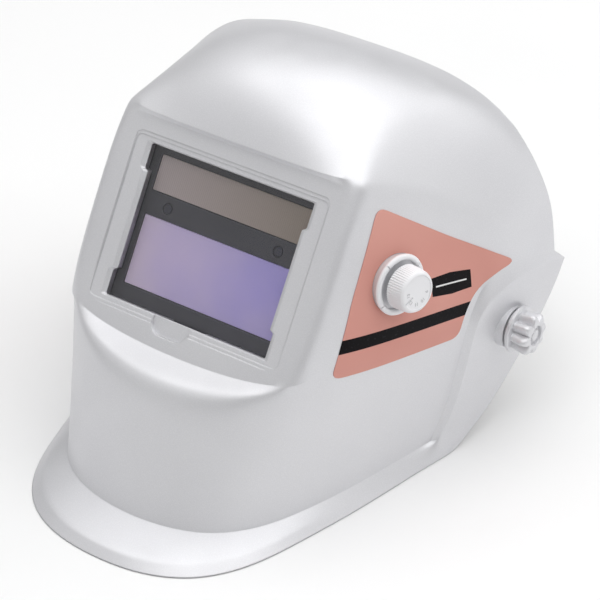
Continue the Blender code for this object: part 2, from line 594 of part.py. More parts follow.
def build_arm(name, side):
    """The bracket from the headband out to the pivot, with its rivet."""
    bracket = frame(f"arm_frame_{name}", (0, PIVOT_Y, PIVOT_Z), x_axis=(side, 0, 0), z_axis=(0, 1, 0))
    disc_out = SEAT_IN - 4.3
    disc_in = disc_out - 2.5
    outline = [(disc_out, -12), (disc_out, 9.8), (84.6, 12.0), (84.6, 24), (82.2, 24), (82.2, 9.6),
               (disc_in, 7.4), (disc_in, -12)]
    arm = plate(f"side_arm_{name}", [(x, -side * z) for x, z in outline], -11, 15, HEADGEAR_BLACK, bracket)
    ear = bpy.data.objects[f"ear_frame_{name}"]
    boolean(arm, cylinder(f"arm_disc_{name}", 15, disc_in, disc_out, (0, 0), None, ear, CUTTERS, 32), "UNION")
    boolean(arm, cylinder(f"cut_arm_{name}", 3.9, 95, 108, (0, 0), None, ear, CUTTERS, 20))
    # The local Y of the right ear frame points down.
    at = (RIVET_Y, side * RIVET_Z)
    boolean(arm, cylinder(f"cut_arm_rivet_{name}", 2.1, 80, 90, at, None, ear, CUTTERS, 12))
    rivet = ring_body(f"arm_rivet_{name}", [(3.6, 75.4), (3.6, 76.7), (1.7, 76.8), (1.7, 84.9), (3.6, 85.0),
                                            (3.4, 86.2)], 16, HEADGEAR_BLACK, ear)
    rivet.location = (at[0] * MM, at[1] * MM, 0)


# ---- Headgear --------------------------------------------------------------------------------------
def build_headgear(head, band, ratchet):
    front = ribbon("headband_front", [(a, flat_section(0, BAND_T, -13, 13)) for a in spread(160, 380, 26)],
                   HEADGEAR_BLACK, band)
    ribbon("sweatband", [(a, flat_section(-5.2, -0.3, -14, 14)) for a in spread(207, 333, 16)],
           PAD_GREY, band)
    for name, side in (("left", 1), ("right", -1)):
        ear = bpy.data.objects[f"ear_frame_{name}"]
        at = (RIVET_Y, side * RIVET_Z)
        boolean(front, cylinder(f"cut_band_rivet_{name}", 2.1, 70, 81.5, at, None, ear, CUTTERS, 12))
        build_rear_strap(name, side, band)
        build_crown_strap(name, side, head, ear, at)
    for i, angle in enumerate((84, 96)):
        turn = math.radians(angle)
        at, out = crown_point(angle, 0), (math.cos(turn), 0, math.sin(turn))
        peg = frame(f"peg_frame_{i}", (at[0], PIVOT_Y + RIVET_Y, PIVOT_Z + at[1]), (0, 1, 0), out)
        ring_body(f"crown_peg_{i + 1}", [(3.6, -4.5), (3.6, -3.1), (1.9, -3.0), (1.9, 2.4)], 16,
                  HEADGEAR_BLACK, peg)
    ribbon("ratchet_base", [(a, flat_section(-0.2, BAND_T, -15, 15)) for a in spread(65, 115, 10)],
           HEADGEAR_BLACK, band)
    channel = [(2.1, -15), (6.0, -15), (6.0, 15), (2.1, 15), (2.1, 12.8), (4.2, 12.8), (4.2, -12.8),
               (2.1, -12.8)]
    cover = ribbon("ratchet_cover", [(a, channel) for a in spread(66, 114, 10)], HEADGEAR_BLACK, band)
    boolean(cover, cylinder("knob_seat", 12, 4.4, 7.0, (0, 0), None, ratchet, CUTTERS, 28), "UNION")
    boolean(cover, cylinder("cut_pinion_shaft", 2.6, 0, 12, (0, 0), None, ratchet, CUTTERS, 16))
    ribbon("nape_pad", [(a, flat_section(-6.4, -0.5, -13.5, 13.5)) for a in spread(70, 110, 8)],
           PAD_GREY, band)
    gear = wave(PINION_R + TOOTH_H, 2 * TOOTH_H, TEETH, -1)
    ring_body("ratchet_pinion", [(gear, 2.2), (gear, 3.7), (2.2, 3.8), (2.2, 15.0)], 40, CASE_GREY, ratchet)
    knob = ring_body("ratchet_knob", [(16.5, 7.4), (wave(17.6, 1.4, 12), 9.0), (wave(17.0, 1.4, 12), 18.5),
                                      (14.5, 20.0)], 36, HEADGEAR_BLACK, ratchet)
    boolean(knob, cylinder("cut_ratchet_bore", 2.5, 5, 15.4, (0, 0), None, ratchet, CUTTERS, 16))


def build_rear_strap(name, side, band):
    """A strap from the temple to the nape that narrows to a toothed tail beside the pinion."""
    pitch = 2 * math.pi * PINION_R / TEETH
    stations = [(a, -9.0) for a in spread(9, 53, 11)] + [(a, PINION_R + 0.5) for a in spread(58, 74, 4)]
    degrees_per_mm = math.degrees(1 / HEAD_HALF_W)
    half_steps = 14
    for step in range(-half_steps, half_steps + 1):
        along = step * pitch / 2
        edge = PINION_R + 0.5 + TOOTH_H * math.cos(2 * math.pi * along / pitch)
        stations.append((90 + along * degrees_per_mm, edge))
    sections = []
    for angle, low in stations:
        section = flat_section(STRAP_IN, STRAP_IN + STRAP_T, low, 9.0)
        sections.append((angle, section) if side > 0 else
                        (180 - angle, [(off, -z) for off, z in section]))
    ribbon(f"rear_strap_{name}", sections, HEADGEAR_BLACK, band)


def crown_point(angle, offset):
    """(X, Z) over the crown, from the pivot axis, at a distance outside the strap's centre line."""
    turn = math.radians(angle)
    half_w, rise, foot = 80.9, 76.0, 20.0
    return ((half_w + offset) * math.cos(turn), foot + (rise + offset) * math.sin(turn))


def build_crown_strap(name, side, head, ear, rivet_at):
    """Half of the strap over the crown; the left one lies over the right one at the top."""
    shift = 0.0 if side > 0 else -1.9
    low = 80.9
    centre = [(low, 5.0), (low, 18.0)] + [crown_point(a, shift * min(1, a / 40)) for a in spread(4, 106, 12)]
    half_t, half_w = STRAP_T / 2, 10.0
    sections = []
    for i, (x, z) in enumerate(centre):
        before, after = centre[max(i - 1, 0)], centre[min(i + 1, len(centre) - 1)]
        along = Vector((after[0] - before[0], after[1] - before[1])).normalized()
        out = Vector((along.y, -along.x)) * half_t
        sections.append([(side * (x + sx * out.x), RIVET_Y + sy * half_w, z + sx * out.y)
                         for sx, sy in ((-1, -1), (1, -1), (1, 1), (-1, 1))])
    strap = loft(f"crown_strap_{name}", sections, HEADGEAR_BLACK, head)
    boolean(strap, cylinder(f"cut_strap_rivet_{name}", 2.1, 79, 83, rivet_at, None, ear, CUTTERS, 12))
    for i, angle in enumerate((84, 96)):
        turn = math.radians(angle)
        at = crown_point(angle, 0)
        peg = frame(f"peg_hole_{name}_{i}", (at[0], PIVOT_Y + RIVET_Y, PIVOT_Z + at[1]), (0, 1, 0),
                    (math.cos(turn), 0, math.sin(turn)))
        boolean(strap, cylinder(f"cut_peg_{name}_{i}", 2.3, -6, 6, (0, 0), None, peg, CUTTERS, 12))


# ---- The helmet ------------------------------------------------------------------------------------
clear_scene()
PARTS = new_collection("welding_helmet")
CUTTERS = new_collection("cutters")
SHELL_PLASTIC = material("satin_silver_plastic", (0.62, 0.62, 0.65), 0.42, 0.1)
WHITE_PLASTIC = material("white_plastic", (0.85, 0.85, 0.87), 0.4)
CASE_BLACK = material("black_case_plastic", (0.03, 0.03, 0.034), 0.5)
CASE_GREY = material("dark_grey_plastic", (0.09, 0.09, 0.1), 0.5)
HEADGEAR_BLACK = material("headgear_plastic", (0.025, 0.025, 0.028), 0.45)
PAD_GREY = material("sweatband_foam", (0.05, 0.05, 0.055), 0.9)
CLEAR = material("clear_polycarbonate", (0.95, 0.96, 0.97), 0.05, 0.0, 0.15)
GLASS_PURPLE = material("purple_filter_glass", (0.3, 0.25, 0.47), 0.1, 0.3)
SOLAR = material("solar_cell", (0.3, 0.26, 0.25), 0.25)
SENSOR_GLASS = material("sensor_glass", (0.05, 0.05, 0.055), 0.15)
LCD = material("shutter_glass", (0.12, 0.14, 0.12), 0.1)
BOARD = material("circuit_board", (0.02, 0.16, 0.07), 0.5)
STEEL = material("plated_steel", (0.6, 0.6, 0.6), 0.3, 1.0)
DECAL_SALMON = material("salmon_film", (0.72, 0.36, 0.31), 0.45)

lean = math.radians(LEAN)
panel = frame("panel_frame", (0, 0, 0), (1, 0, 0), (0, -math.cos(lean), math.sin(lean)))
shade = frame("shade_frame", SHADE_AT, (0, 1, 0), SHADE_AXIS)
head = frame("head_frame", (0, PIVOT_Y, PIVOT_Z))
tilt = math.radians(HEAD_TILT)
band = frame("band_frame", (0, PIVOT_Y + HEAD_CENTRE_Y, PIVOT_Z + HEAD_CENTRE_Z), (1, 0, 0),
             (0, math.sin(tilt), math.cos(tilt)))
nape = (0, PIVOT_Y + HEAD_CENTRE_Y + HEAD_HALF_L * math.cos(tilt),
        PIVOT_Z + HEAD_CENTRE_Z - HEAD_HALF_L * math.sin(tilt))
ratchet = frame("ratchet_frame", nape, (1, 0, 0), (0, math.cos(tilt), -math.sin(tilt)))
ears = {"left": axis_frame("ear_frame_left", 1), "right": axis_frame("ear_frame_right", -1)}

shell = build_shell()
cut_shell(shell, panel, shade, ears)
build_optics(panel)
build_shade_control(shade)
build_cable(panel, shade)
build_decal("side_decal_left", 1, shade)
build_decal("side_decal_right", -1, None)
for ear_name, ear_frame in ears.items():
    build_ear(ear_name, ear_frame)
    build_arm(ear_name, 1 if ear_name == "left" else -1)
build_headgear(head, band, ratchet)
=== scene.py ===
# %% [markdown]
# # Auto-darkening welding helmet
# A welding helmet is one thin moulded shell with a window. Behind the window sit a clear cover lens and
# a filter cartridge that darkens by itself. A white knob on the wearer's left sets the shade, two ear
# knobs clamp the headgear, and a ratchet at the nape tightens the headband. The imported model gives
# every piece its place. This script rebuilds the surfaces that show as fine meshes and gives every
# piece a finish.

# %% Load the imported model
import math
import json

import bmesh
import bpy
from mathutils import Matrix, Vector


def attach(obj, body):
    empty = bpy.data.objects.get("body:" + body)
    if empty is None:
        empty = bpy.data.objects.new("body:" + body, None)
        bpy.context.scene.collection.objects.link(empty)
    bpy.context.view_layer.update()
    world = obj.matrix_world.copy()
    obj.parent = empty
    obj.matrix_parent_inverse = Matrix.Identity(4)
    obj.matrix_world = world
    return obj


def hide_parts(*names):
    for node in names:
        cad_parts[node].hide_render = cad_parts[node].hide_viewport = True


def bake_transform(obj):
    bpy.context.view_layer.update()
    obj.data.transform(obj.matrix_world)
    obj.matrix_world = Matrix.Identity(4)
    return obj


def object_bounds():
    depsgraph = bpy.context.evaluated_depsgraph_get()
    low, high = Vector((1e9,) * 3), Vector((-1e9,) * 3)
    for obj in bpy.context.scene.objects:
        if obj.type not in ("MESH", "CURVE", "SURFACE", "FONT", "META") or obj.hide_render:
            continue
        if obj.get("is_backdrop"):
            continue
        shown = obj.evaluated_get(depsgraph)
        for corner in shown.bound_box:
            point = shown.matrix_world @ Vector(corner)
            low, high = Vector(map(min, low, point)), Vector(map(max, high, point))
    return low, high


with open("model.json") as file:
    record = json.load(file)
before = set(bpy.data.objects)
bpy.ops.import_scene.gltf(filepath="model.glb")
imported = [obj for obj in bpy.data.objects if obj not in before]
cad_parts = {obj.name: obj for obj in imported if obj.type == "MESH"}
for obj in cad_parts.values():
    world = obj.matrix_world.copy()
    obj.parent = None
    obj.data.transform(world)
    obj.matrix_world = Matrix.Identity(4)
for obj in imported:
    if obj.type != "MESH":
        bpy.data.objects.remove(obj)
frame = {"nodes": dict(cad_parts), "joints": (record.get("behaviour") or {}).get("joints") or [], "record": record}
nodes = frame["nodes"]
cad_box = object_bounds()
MM = 0.001
print("CAD pieces:", len(nodes), "box:", cad_box)

# %% [markdown]
# The window leans back with the face panel, so most front pieces are easiest to place in a frame that
# leans with it: local X to the wearer's left, local Y up the panel and local Z out of it. The same
# trick serves the shade control, the ear pivots, the headband and the nape. A frame is just a matrix.

# %% Frames that the pieces are placed in
WINDOW = Vector((0, -71.4, 125.5))      # millimetres: the centre of the window on the shell's face
LEAN = math.radians(32)
HEAD_TILT = math.radians(19.6)


def frame_at(origin, x_axis, z_axis):
    """A matrix from local millimetres to metres in the shared frame."""
    z = Vector(z_axis).normalized()
    x = Vector(x_axis)
    x = (x - z * x.dot(z)).normalized()
    y = z.cross(x)
    axes = Matrix((x, y, z)).transposed().to_4x4()
    return Matrix.Translation(Vector(origin) * MM) @ axes @ Matrix.Scale(MM, 4)


def from_window(x, y, z):
    return WINDOW + Vector((x, y, z))


joints = {joint["name"]: joint for joint in frame["joints"]}
pivot = Vector(joints["headgear_tilt"]["pos_m"]) / MM
nape = Vector(joints["nape_dial_turn"]["pos_m"]) / MM
shade_at = Vector(joints["shade_turn"]["pos_m"]) / MM
WORLD = Matrix.Scale(MM, 4)
PANEL = frame_at(WINDOW, (1, 0, 0), (0, -math.cos(LEAN), math.sin(LEAN)))
SHADE = frame_at(shade_at, (0, 1, 0), joints["shade_turn"]["axis"])
EARS = {"left": frame_at(pivot, (0, 1, 0), (1, 0, 0)), "right": frame_at(pivot, (0, 1, 0), (-1, 0, 0))}
BAND = frame_at(pivot + Vector((0, 13, 7)), (1, 0, 0), (0, math.sin(HEAD_TILT), math.cos(HEAD_TILT)))
NAPE = frame_at(nape, (1, 0, 0), joints["nape_dial_turn"]["axis"])
print("ear pivots at", tuple(round(c, 1) for c in pivot), "mm")

# %% [markdown]
# Four helpers carry most of the modelling. "only" deselects all first, because an operator acts on
# whatever is selected. "loft" turns a list of outlines into a solid: each outline is a ring of points,
# and each pair of rings is joined by a band of faces. "apply" sets a modifier and applies it, and "cut"
# cuts a piece with another.

# %% Modelling helpers
def only(*pieces):
    """Selects just these pieces, with the last one active."""
    if bpy.context.mode != "OBJECT":
        bpy.ops.object.mode_set(mode="OBJECT")
    bpy.ops.object.select_all(action="DESELECT")
    for piece in pieces:
        piece.select_set(True)
        bpy.context.view_layer.objects.active = piece


def settle(piece, matrix):
    """Places a piece through its mesh, so that its object sits at the origin."""
    bpy.context.view_layer.update()
    piece.data.transform(matrix @ piece.matrix_world)
    piece.matrix_world = Matrix.Identity(4)
    return piece


def outward(piece):
    """Merges doubles and turns every face outwards, by hand in edit mode."""
    only(piece)
    bpy.ops.object.mode_set(mode="EDIT")
    bpy.ops.mesh.select_all(action="SELECT")
    bpy.ops.mesh.remove_doubles(threshold=1e-6)
    bpy.ops.mesh.normals_make_consistent(inside=False)
    bpy.ops.object.mode_set(mode="OBJECT")
    return piece


def smooth(piece, degrees=35):
    only(piece)
    bpy.ops.object.shade_smooth_by_angle(angle=math.radians(degrees))
    return piece


def apply(piece, kind, **settings):
    """Adds one modifier, sets it and applies it."""
    only(piece)
    modifier = piece.modifiers.new(kind.title(), kind)
    for setting, value in settings.items():
        setattr(modifier, setting, value)
    bpy.ops.object.modifier_apply(modifier=modifier.name)
    return piece


def round_edges(piece, width, segments=2, angle=30):
    return apply(piece, "BEVEL", width=width * MM, segments=segments, limit_method="ANGLE",
                 angle_limit=math.radians(angle), use_clamp_overlap=True)


def cut(piece, tool, operation="DIFFERENCE", solver="EXACT"):
    """Cuts with another piece, which is then thrown away."""
    apply(piece, "BOOLEAN", operation=operation, solver=solver, object=tool)
    bpy.data.objects.remove(tool)
    return piece


def loft(name, rings, matrix, ends="FILL"):
    """A solid through rings of local points. With ends "LOOP" the last ring joins the first."""
    shape = bmesh.new()
    made = [[shape.verts.new(matrix @ Vector(point)) for point in ring] for ring in rings]
    pairs = list(zip(made, made[1:])) + ([(made[-1], made[0])] if ends == "LOOP" else [])
    for low, high in pairs:
        for i in range(len(low)):
            j = (i + 1) % len(low)
            shape.faces.new((low[i], low[j], high[j], high[i]))
    if ends == "FILL":
        shape.faces.new(reversed(made[0]))
        shape.faces.new(made[-1])
    mesh = bpy.data.meshes.new(name)
    shape.to_mesh(mesh)
    shape.free()
    piece = bpy.data.objects.new(name, mesh)
    bpy.context.scene.collection.objects.link(piece)
    return outward(piece)


def turned(name, profile, matrix, sides=64, ends="FILL"):
    """A turned piece: the profile's points are (radius, height), and a radius may vary with the angle."""
    rings = []
    for radius, height in profile:
        ring = []
        for i in range(sides):
            angle = 2 * math.pi * i / sides
            r = radius(angle) if callable(radius) else radius
            ring.append((r * math.cos(angle), r * math.sin(angle), height))
        rings.append(ring)
    return loft(name, rings, matrix, ends)


def extruded(name, outline, low, high, matrix):
    return loft(name, [[(x, y, low) for x, y in outline], [(x, y, high) for x, y in outline]], matrix)


def rounded(outline, radius, steps=5):
    """Rounds each corner of a flat outline."""
    made = []
    count = len(outline)
    for i in range(count):
        before, at, after = (Vector(outline[(i + k) % count]) for k in (-1, 0, 1))
        r = min(radius, (before - at).length * 0.45, (after - at).length * 0.45)
        first, last = at + (before - at).normalized() * r, at + (after - at).normalized() * r
        for step in range(steps + 1):
            t = step / steps
            made.append(tuple(first * (1 - t) ** 2 + at * 2 * t * (1 - t) + last * t * t))
    return made


def rectangle(width, height, radius, steps=5):
    w, h = width / 2, height / 2
    return rounded([(w, h), (-w, h), (-w, -h), (w, -h)], radius, steps)


def finish_in(piece, material):
    """Gives every face one finish, whatever slots a cut left behind."""
    piece.data.materials.clear()
    piece.data.materials.append(material)
    piece.data.polygons.foreach_set("material_index", [0] * len(piece.data.polygons))


def stands_for(piece, body, slot, *replaced):
    """Rides a piece on its body and hides the CAD node it stands for; its slot, the finish's name, is not used."""
    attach(piece, body)
    if replaced:
        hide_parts(*replaced)
    return piece


# %% [markdown]
# ## Finishes
# A procedural material is a small program made of nodes. Here a wrapper class turns a socket into
# something that Python can add and multiply, so a mask reads like arithmetic. Most finishes have their own
# grain, slight variation in colour and a bump, at the scale of the real surface.

# %% The shader wrapper
class Wire:
    """A node's output socket with arithmetic: each operator adds one Math node."""

    def __init__(self, paint, socket):
        self.paint, self.socket = paint, socket

    def math(self, operation, *others):
        return self.paint.node("ShaderNodeMath", {"operation": operation}, [self, *others])

    def __add__(self, other): return self.math("ADD", other)
    def __radd__(self, other): return self.math("ADD", other)
    def __sub__(self, other): return self.math("SUBTRACT", other)
    def __rsub__(self, other): return self.paint.wire(other).math("SUBTRACT", self)
    def __mul__(self, other): return self.math("MULTIPLY", other)
    def __rmul__(self, other): return self.math("MULTIPLY", other)
    def __gt__(self, other): return self.math("GREATER_THAN", other)
    def __abs__(self): return self.math("ABSOLUTE")


class Paint:
    """One material, its shader and the nodes that feed it."""

    def __init__(self, name, colour, roughness, **plain):
        self.material = bpy.data.materials.new(name)
        self.material.use_nodes = True
        self.tree = self.material.node_tree
        self.shader = self.tree.nodes["Principled BSDF"]
        self.set("Base Color", (*colour, 1))
        self.set("Roughness", roughness)
        for socket, value in plain.items():
            self.set(socket.replace("_", " "), value)
        self.place = self.node("ShaderNodeTexCoord", {}, [], "Object")

    def set(self, socket, value):
        """Links a wire to a socket of the shader, or sets a plain value on it."""
        if isinstance(value, Wire):
            self.tree.links.new(value.socket, self.shader.inputs[socket])
        else:
            self.shader.inputs[socket].default_value = value

    def node(self, kind, settings, inputs, output=0):
        """Adds a node. Settings come first; inputs are a list, or a dictionary by socket name."""
        made = self.tree.nodes.new(kind)
        for setting, value in settings.items():
            setattr(made, setting, value)
        for key, value in (inputs.items() if isinstance(inputs, dict) else enumerate(inputs)):
            if isinstance(value, Wire):
                self.tree.links.new(value.socket, made.inputs[key])
            else:
                made.inputs[key].default_value = value
        return Wire(self, made.outputs[output])

    def wire(self, number):
        value = self.node("ShaderNodeValue", {}, [])
        value.socket.default_value = number
        return value

    def axis(self, name):
        return self.node("ShaderNodeSeparateXYZ", {}, [self.place], name)

    def noise(self, scale, detail=3.0, stretch=None):
        place = self.place
        if stretch:
            place = self.node("ShaderNodeMapping", {}, {"Vector": place, "Scale": stretch})
        return self.node("ShaderNodeTexNoise", {}, {"Vector": place, "Scale": scale, "Detail": detail})

    def range(self, wire, low, high, to_low=0.0, to_high=1.0):
        return self.node("ShaderNodeMapRange", {}, [wire, low, high, to_low, to_high])

    def ripple(self, pitch, axis="X"):
        """A wave from 0 to 1 along an axis, with its pitch in metres."""
        return (self.axis(axis) * (2 * math.pi / pitch)).math("SINE") * 0.5 + 0.5

    def mix(self, mask, first, second):
        """Colours are mixed by a mask from 0 to 1."""
        inputs = {0: mask, 6: first if isinstance(first, Wire) else (*first, 1),
                  7: second if isinstance(second, Wire) else (*second, 1)}
        return self.node("ShaderNodeMix", {"data_type": "RGBA"}, inputs, 2)

    def bump(self, height, distance, strength=1.0, normal=None):
        inputs = {"Height": height, "Distance": distance * MM, "Strength": strength}
        if normal:
            inputs["Normal"] = normal
        self.set("Normal", self.node("ShaderNodeBump", {}, inputs))

    def soft_edges(self, radius):
        """Light catches an edge as if it were rounded to this radius in millimetres."""
        return self.node("ShaderNodeBevel", {"samples": 4}, {"Radius": radius * MM})


# %% [markdown]
# The shell is moulded in silver plastic with a satin skin: tiny flakes, a fine grain from the mould and a
# little unevenness in its gloss. The same recipe with other numbers gives the white, grey and black
# plastics, so it is a function.

# %% Moulded plastics
def moulded(name, dark, light, roughness, grain=0.012, metallic=0.0, edge=0.0, fleck=0.0):
    """A moulded plastic whose colour drifts between two tones. Grain and edge are in millimetres."""
    paint = Paint(name, light, roughness, Metallic=metallic)
    drift = paint.range(paint.noise(9, 2), 0.3, 0.7)
    tone = paint.mix(drift, dark, light)
    speck = paint.range(paint.noise(2600, 1), 0.45, 0.7)
    if fleck:
        tone = paint.mix(speck * fleck, tone, tuple(min(1, c * 1.25) for c in light))
    paint.set("Base Color", tone)
    paint.set("Roughness", paint.range(paint.noise(60, 3), 0.3, 0.7, roughness - 0.04, roughness + 0.05))
    rough_skin = paint.noise(1500, 2) + speck * 0.5
    paint.bump(rough_skin, grain, 0.35, paint.soft_edges(edge) if edge else None)
    return paint.material


silver = moulded("silver_shell_plastic", (0.69, 0.69, 0.715), (0.73, 0.73, 0.75), 0.42, metallic=0.4,
                 edge=0.7, fleck=0.25)
white = moulded("white_knob_plastic", (0.83, 0.83, 0.85), (0.88, 0.88, 0.9), 0.36, edge=0.3)
case_black = moulded("black_cartridge_plastic", (0.05, 0.05, 0.066), (0.07, 0.069, 0.09), 0.5,
                    grain=0.0006)
grey = moulded("dark_grey_plastic", (0.075, 0.075, 0.082), (0.1, 0.1, 0.108), 0.45)
nylon = moulded("black_nylon", (0.018, 0.018, 0.02), (0.034, 0.034, 0.037), 0.4, grain=0.02)
rubber = moulded("black_rubber_grip", (0.02, 0.02, 0.021), (0.03, 0.03, 0.03), 0.62, grain=0.03)
print("plastics:", len(bpy.data.materials))

# %% [markdown]
# The optical pieces are mostly gloss. A clear sheet shows nothing but its reflection, which grows at
# grazing angles, so it is a white mirror whose alpha is the Fresnel term. The filter glass has a violet
# interference coating, and the solar cell shows its fine fingers under a brown film. Both are also
# painted paler towards the wearer's right: a painted reflection of the bright studio.

# %% Glass, cells and film
def clear_sheet(name, tint, least):
    paint = Paint(name, tint, 0.06, Metallic=1.0)
    fresnel = paint.node("ShaderNodeFresnel", {}, {"IOR": 1.5})
    paint.set("Alpha", paint.range(fresnel, 0.02, 1.0, least, 0.8))
    return paint.material


def coated_glass():
    paint = Paint("violet_filter_glass", (0.38, 0.33, 0.68), 0.2)
    # Painted reflection: the glass is painted paler towards the wearer's right, with a random cloud mixed in.
    across = paint.range(paint.axis("X"), 0.045, -0.045)
    cloud = paint.range(paint.noise(28, 2), 0.35, 0.65)
    paint.set("Base Color", paint.mix(across * 0.75 + cloud * 0.25, (0.5, 0.43, 0.98),
                                      (0.95, 0.8, 1.0)))
    paint.set("Roughness", paint.range(paint.noise(90, 2), 0.3, 0.7, 0.16, 0.22))
    return paint.material


def solar_film():
    paint = Paint("solar_cell_film", (0.28, 0.24, 0.23), 0.3)
    fingers = paint.range(paint.ripple(0.0011), 0.75, 1.0)
    # Painted reflection: the film is painted lighter and paler towards the wearer's right.
    across = paint.range(paint.axis("X"), 0.05, -0.04)
    tone = paint.mix(across, (0.38, 0.31, 0.25), (0.62, 0.53, 0.53))
    paint.set("Base Color", paint.mix(fingers * 0.25, tone, (0.2, 0.17, 0.16)))
    return paint.material


clear = clear_sheet("clear_polycarbonate", (1, 1, 1), 0.012)
violet = coated_glass()
solar = solar_film()
lcd = Paint("shutter_glass", (0.1, 0.13, 0.11), 0.08)
lcd.set("Base Color", lcd.mix(lcd.range(lcd.noise(30), 0.4, 0.6), (0.09, 0.12, 0.1), (0.13, 0.16, 0.13)))
sensor = Paint("sensor_window", (0.02, 0.02, 0.024), 0.3)
sensor.set("Base Color", sensor.mix(sensor.range(sensor.noise(400), 0.4, 0.6), (0.012, 0.012, 0.03),
                                    (0.03, 0.03, 0.06)))

# %% [markdown]
# The hardware is plated steel with faint brush marks, the circuit board is a green mask with copper
# tracks, and the sweatband is a knitted fabric over foam. The knit is two crossed ripples.

# %% Steel, board and fabric
def plated_steel():
    paint = Paint("zinc_plated_steel", (0.6, 0.6, 0.61), 0.3, Metallic=1.0)
    brushed = paint.noise(700, 2, (1, 1, 6))
    paint.set("Base Color", paint.mix(paint.range(brushed, 0.3, 0.7), (0.5, 0.5, 0.52), (0.68, 0.68, 0.68)))
    paint.set("Roughness", paint.range(brushed, 0.3, 0.7, 0.24, 0.38))
    paint.bump(brushed, 0.01, 0.3)
    return paint.material


def board_mask():
    paint = Paint("circuit_board_mask", (0.02, 0.14, 0.06), 0.4)
    tracks = (paint.ripple(0.0026) > 0.8) * (paint.noise(220, 0) > 0.5)
    paint.set("Base Color", paint.mix(tracks, (0.015, 0.11, 0.05), (0.06, 0.22, 0.1)))
    paint.bump(tracks, 0.03)
    return paint.material


def knitted():
    paint = Paint("knitted_sweatband", (0.045, 0.045, 0.05), 0.9, Sheen_Weight=0.4, Sheen_Roughness=0.5)
    row_rate, stitch_rate = 4200, 3600      # radians per metre: loops about 1.5 and 1.7 mm long
    rows = (paint.axis("Z") * row_rate).math("SINE")
    stitches = ((paint.axis("X") + paint.axis("Y")) * stitch_rate).math("SINE")
    knit = paint.range(rows * stitches, -1.0, 1.0)
    fuzz = paint.noise(900, 3)
    tone = paint.mix(knit, (0.02, 0.02, 0.024), (0.06, 0.06, 0.066))
    paint.set("Base Color", paint.mix(paint.range(fuzz, 0.4, 0.7) * 0.4, tone, (0.09, 0.09, 0.095)))
    paint.bump(knit + fuzz * 0.6, 0.25, 0.7)
    return paint.material


steel, board, fabric = plated_steel(), board_mask(), knitted()

# %% [markdown]
# The side decal is one printed film: salmon, with a black stripe and a small black tag. On the real
# thing the tag and stripe carry words, which are left off here. The print is worked out from the
# film's own Y and Z, because it lies almost flat on the helmet's side.

# %% Printed side film
def printed_film():
    paint = Paint("printed_salmon_film", (0.72, 0.36, 0.31), 0.34, Specular_IOR_Level=0.1)
    y = paint.axis("Y") * 1000 - WINDOW.y
    z = paint.axis("Z") * 1000 - WINDOW.z

    def within(distance, half, blur=0.1):
        """1 up to half a width from a middle line, 0 beyond it, in millimetres."""
        return paint.range(distance, half, half - blur)

    stripe = within(abs(z + y * 0.158 + 27.4), 3.5)
    from_tag = y - 70.3
    tag_y, tag_z = abs(from_tag), abs(z + from_tag * 0.2 + 21.6)
    tag = within(tag_y, 12.4) * within(tag_z + tag_y * 0.08, 6.0)
    rule = within(tag_y, 9.6) * within(tag_z, 0.45, 0.05)
    speckle = paint.range(paint.noise(900, 1), 0.62, 0.72)
    ink = paint.mix(speckle * 0.5, (0.002, 0.001, 0.002), (0.025, 0.022, 0.028))
    salmon = paint.mix(paint.range(paint.noise(14, 2), 0.35, 0.65), (0.685, 0.325, 0.275),
                       (0.73, 0.37, 0.315))
    printed = paint.mix(stripe.math("MAXIMUM", tag), salmon, ink)
    paint.set("Base Color", paint.mix(rule, printed, (0.8, 0.8, 0.8)))
    paint.set("Roughness", paint.range(paint.noise(50, 3), 0.3, 0.7, 0.3, 0.4))
    paint.bump(paint.noise(700, 2), 0.008, 0.3)
    return paint.material


film = printed_film()
print("materials:", len(bpy.data.materials))

# %% [markdown]
# ## The shell
# The shell is a thin wall with long soft curves and a few sharp folds: the ledge under the window, the
# chin lip, the brow above the window and the step round each ear. A coarse cage under Subdivision
# Surface suits it, since creased edges stay sharp while the rest flows. The cage is half a shell: a grid
# whose rows run from the lip up to the crown, mirrored across the middle.

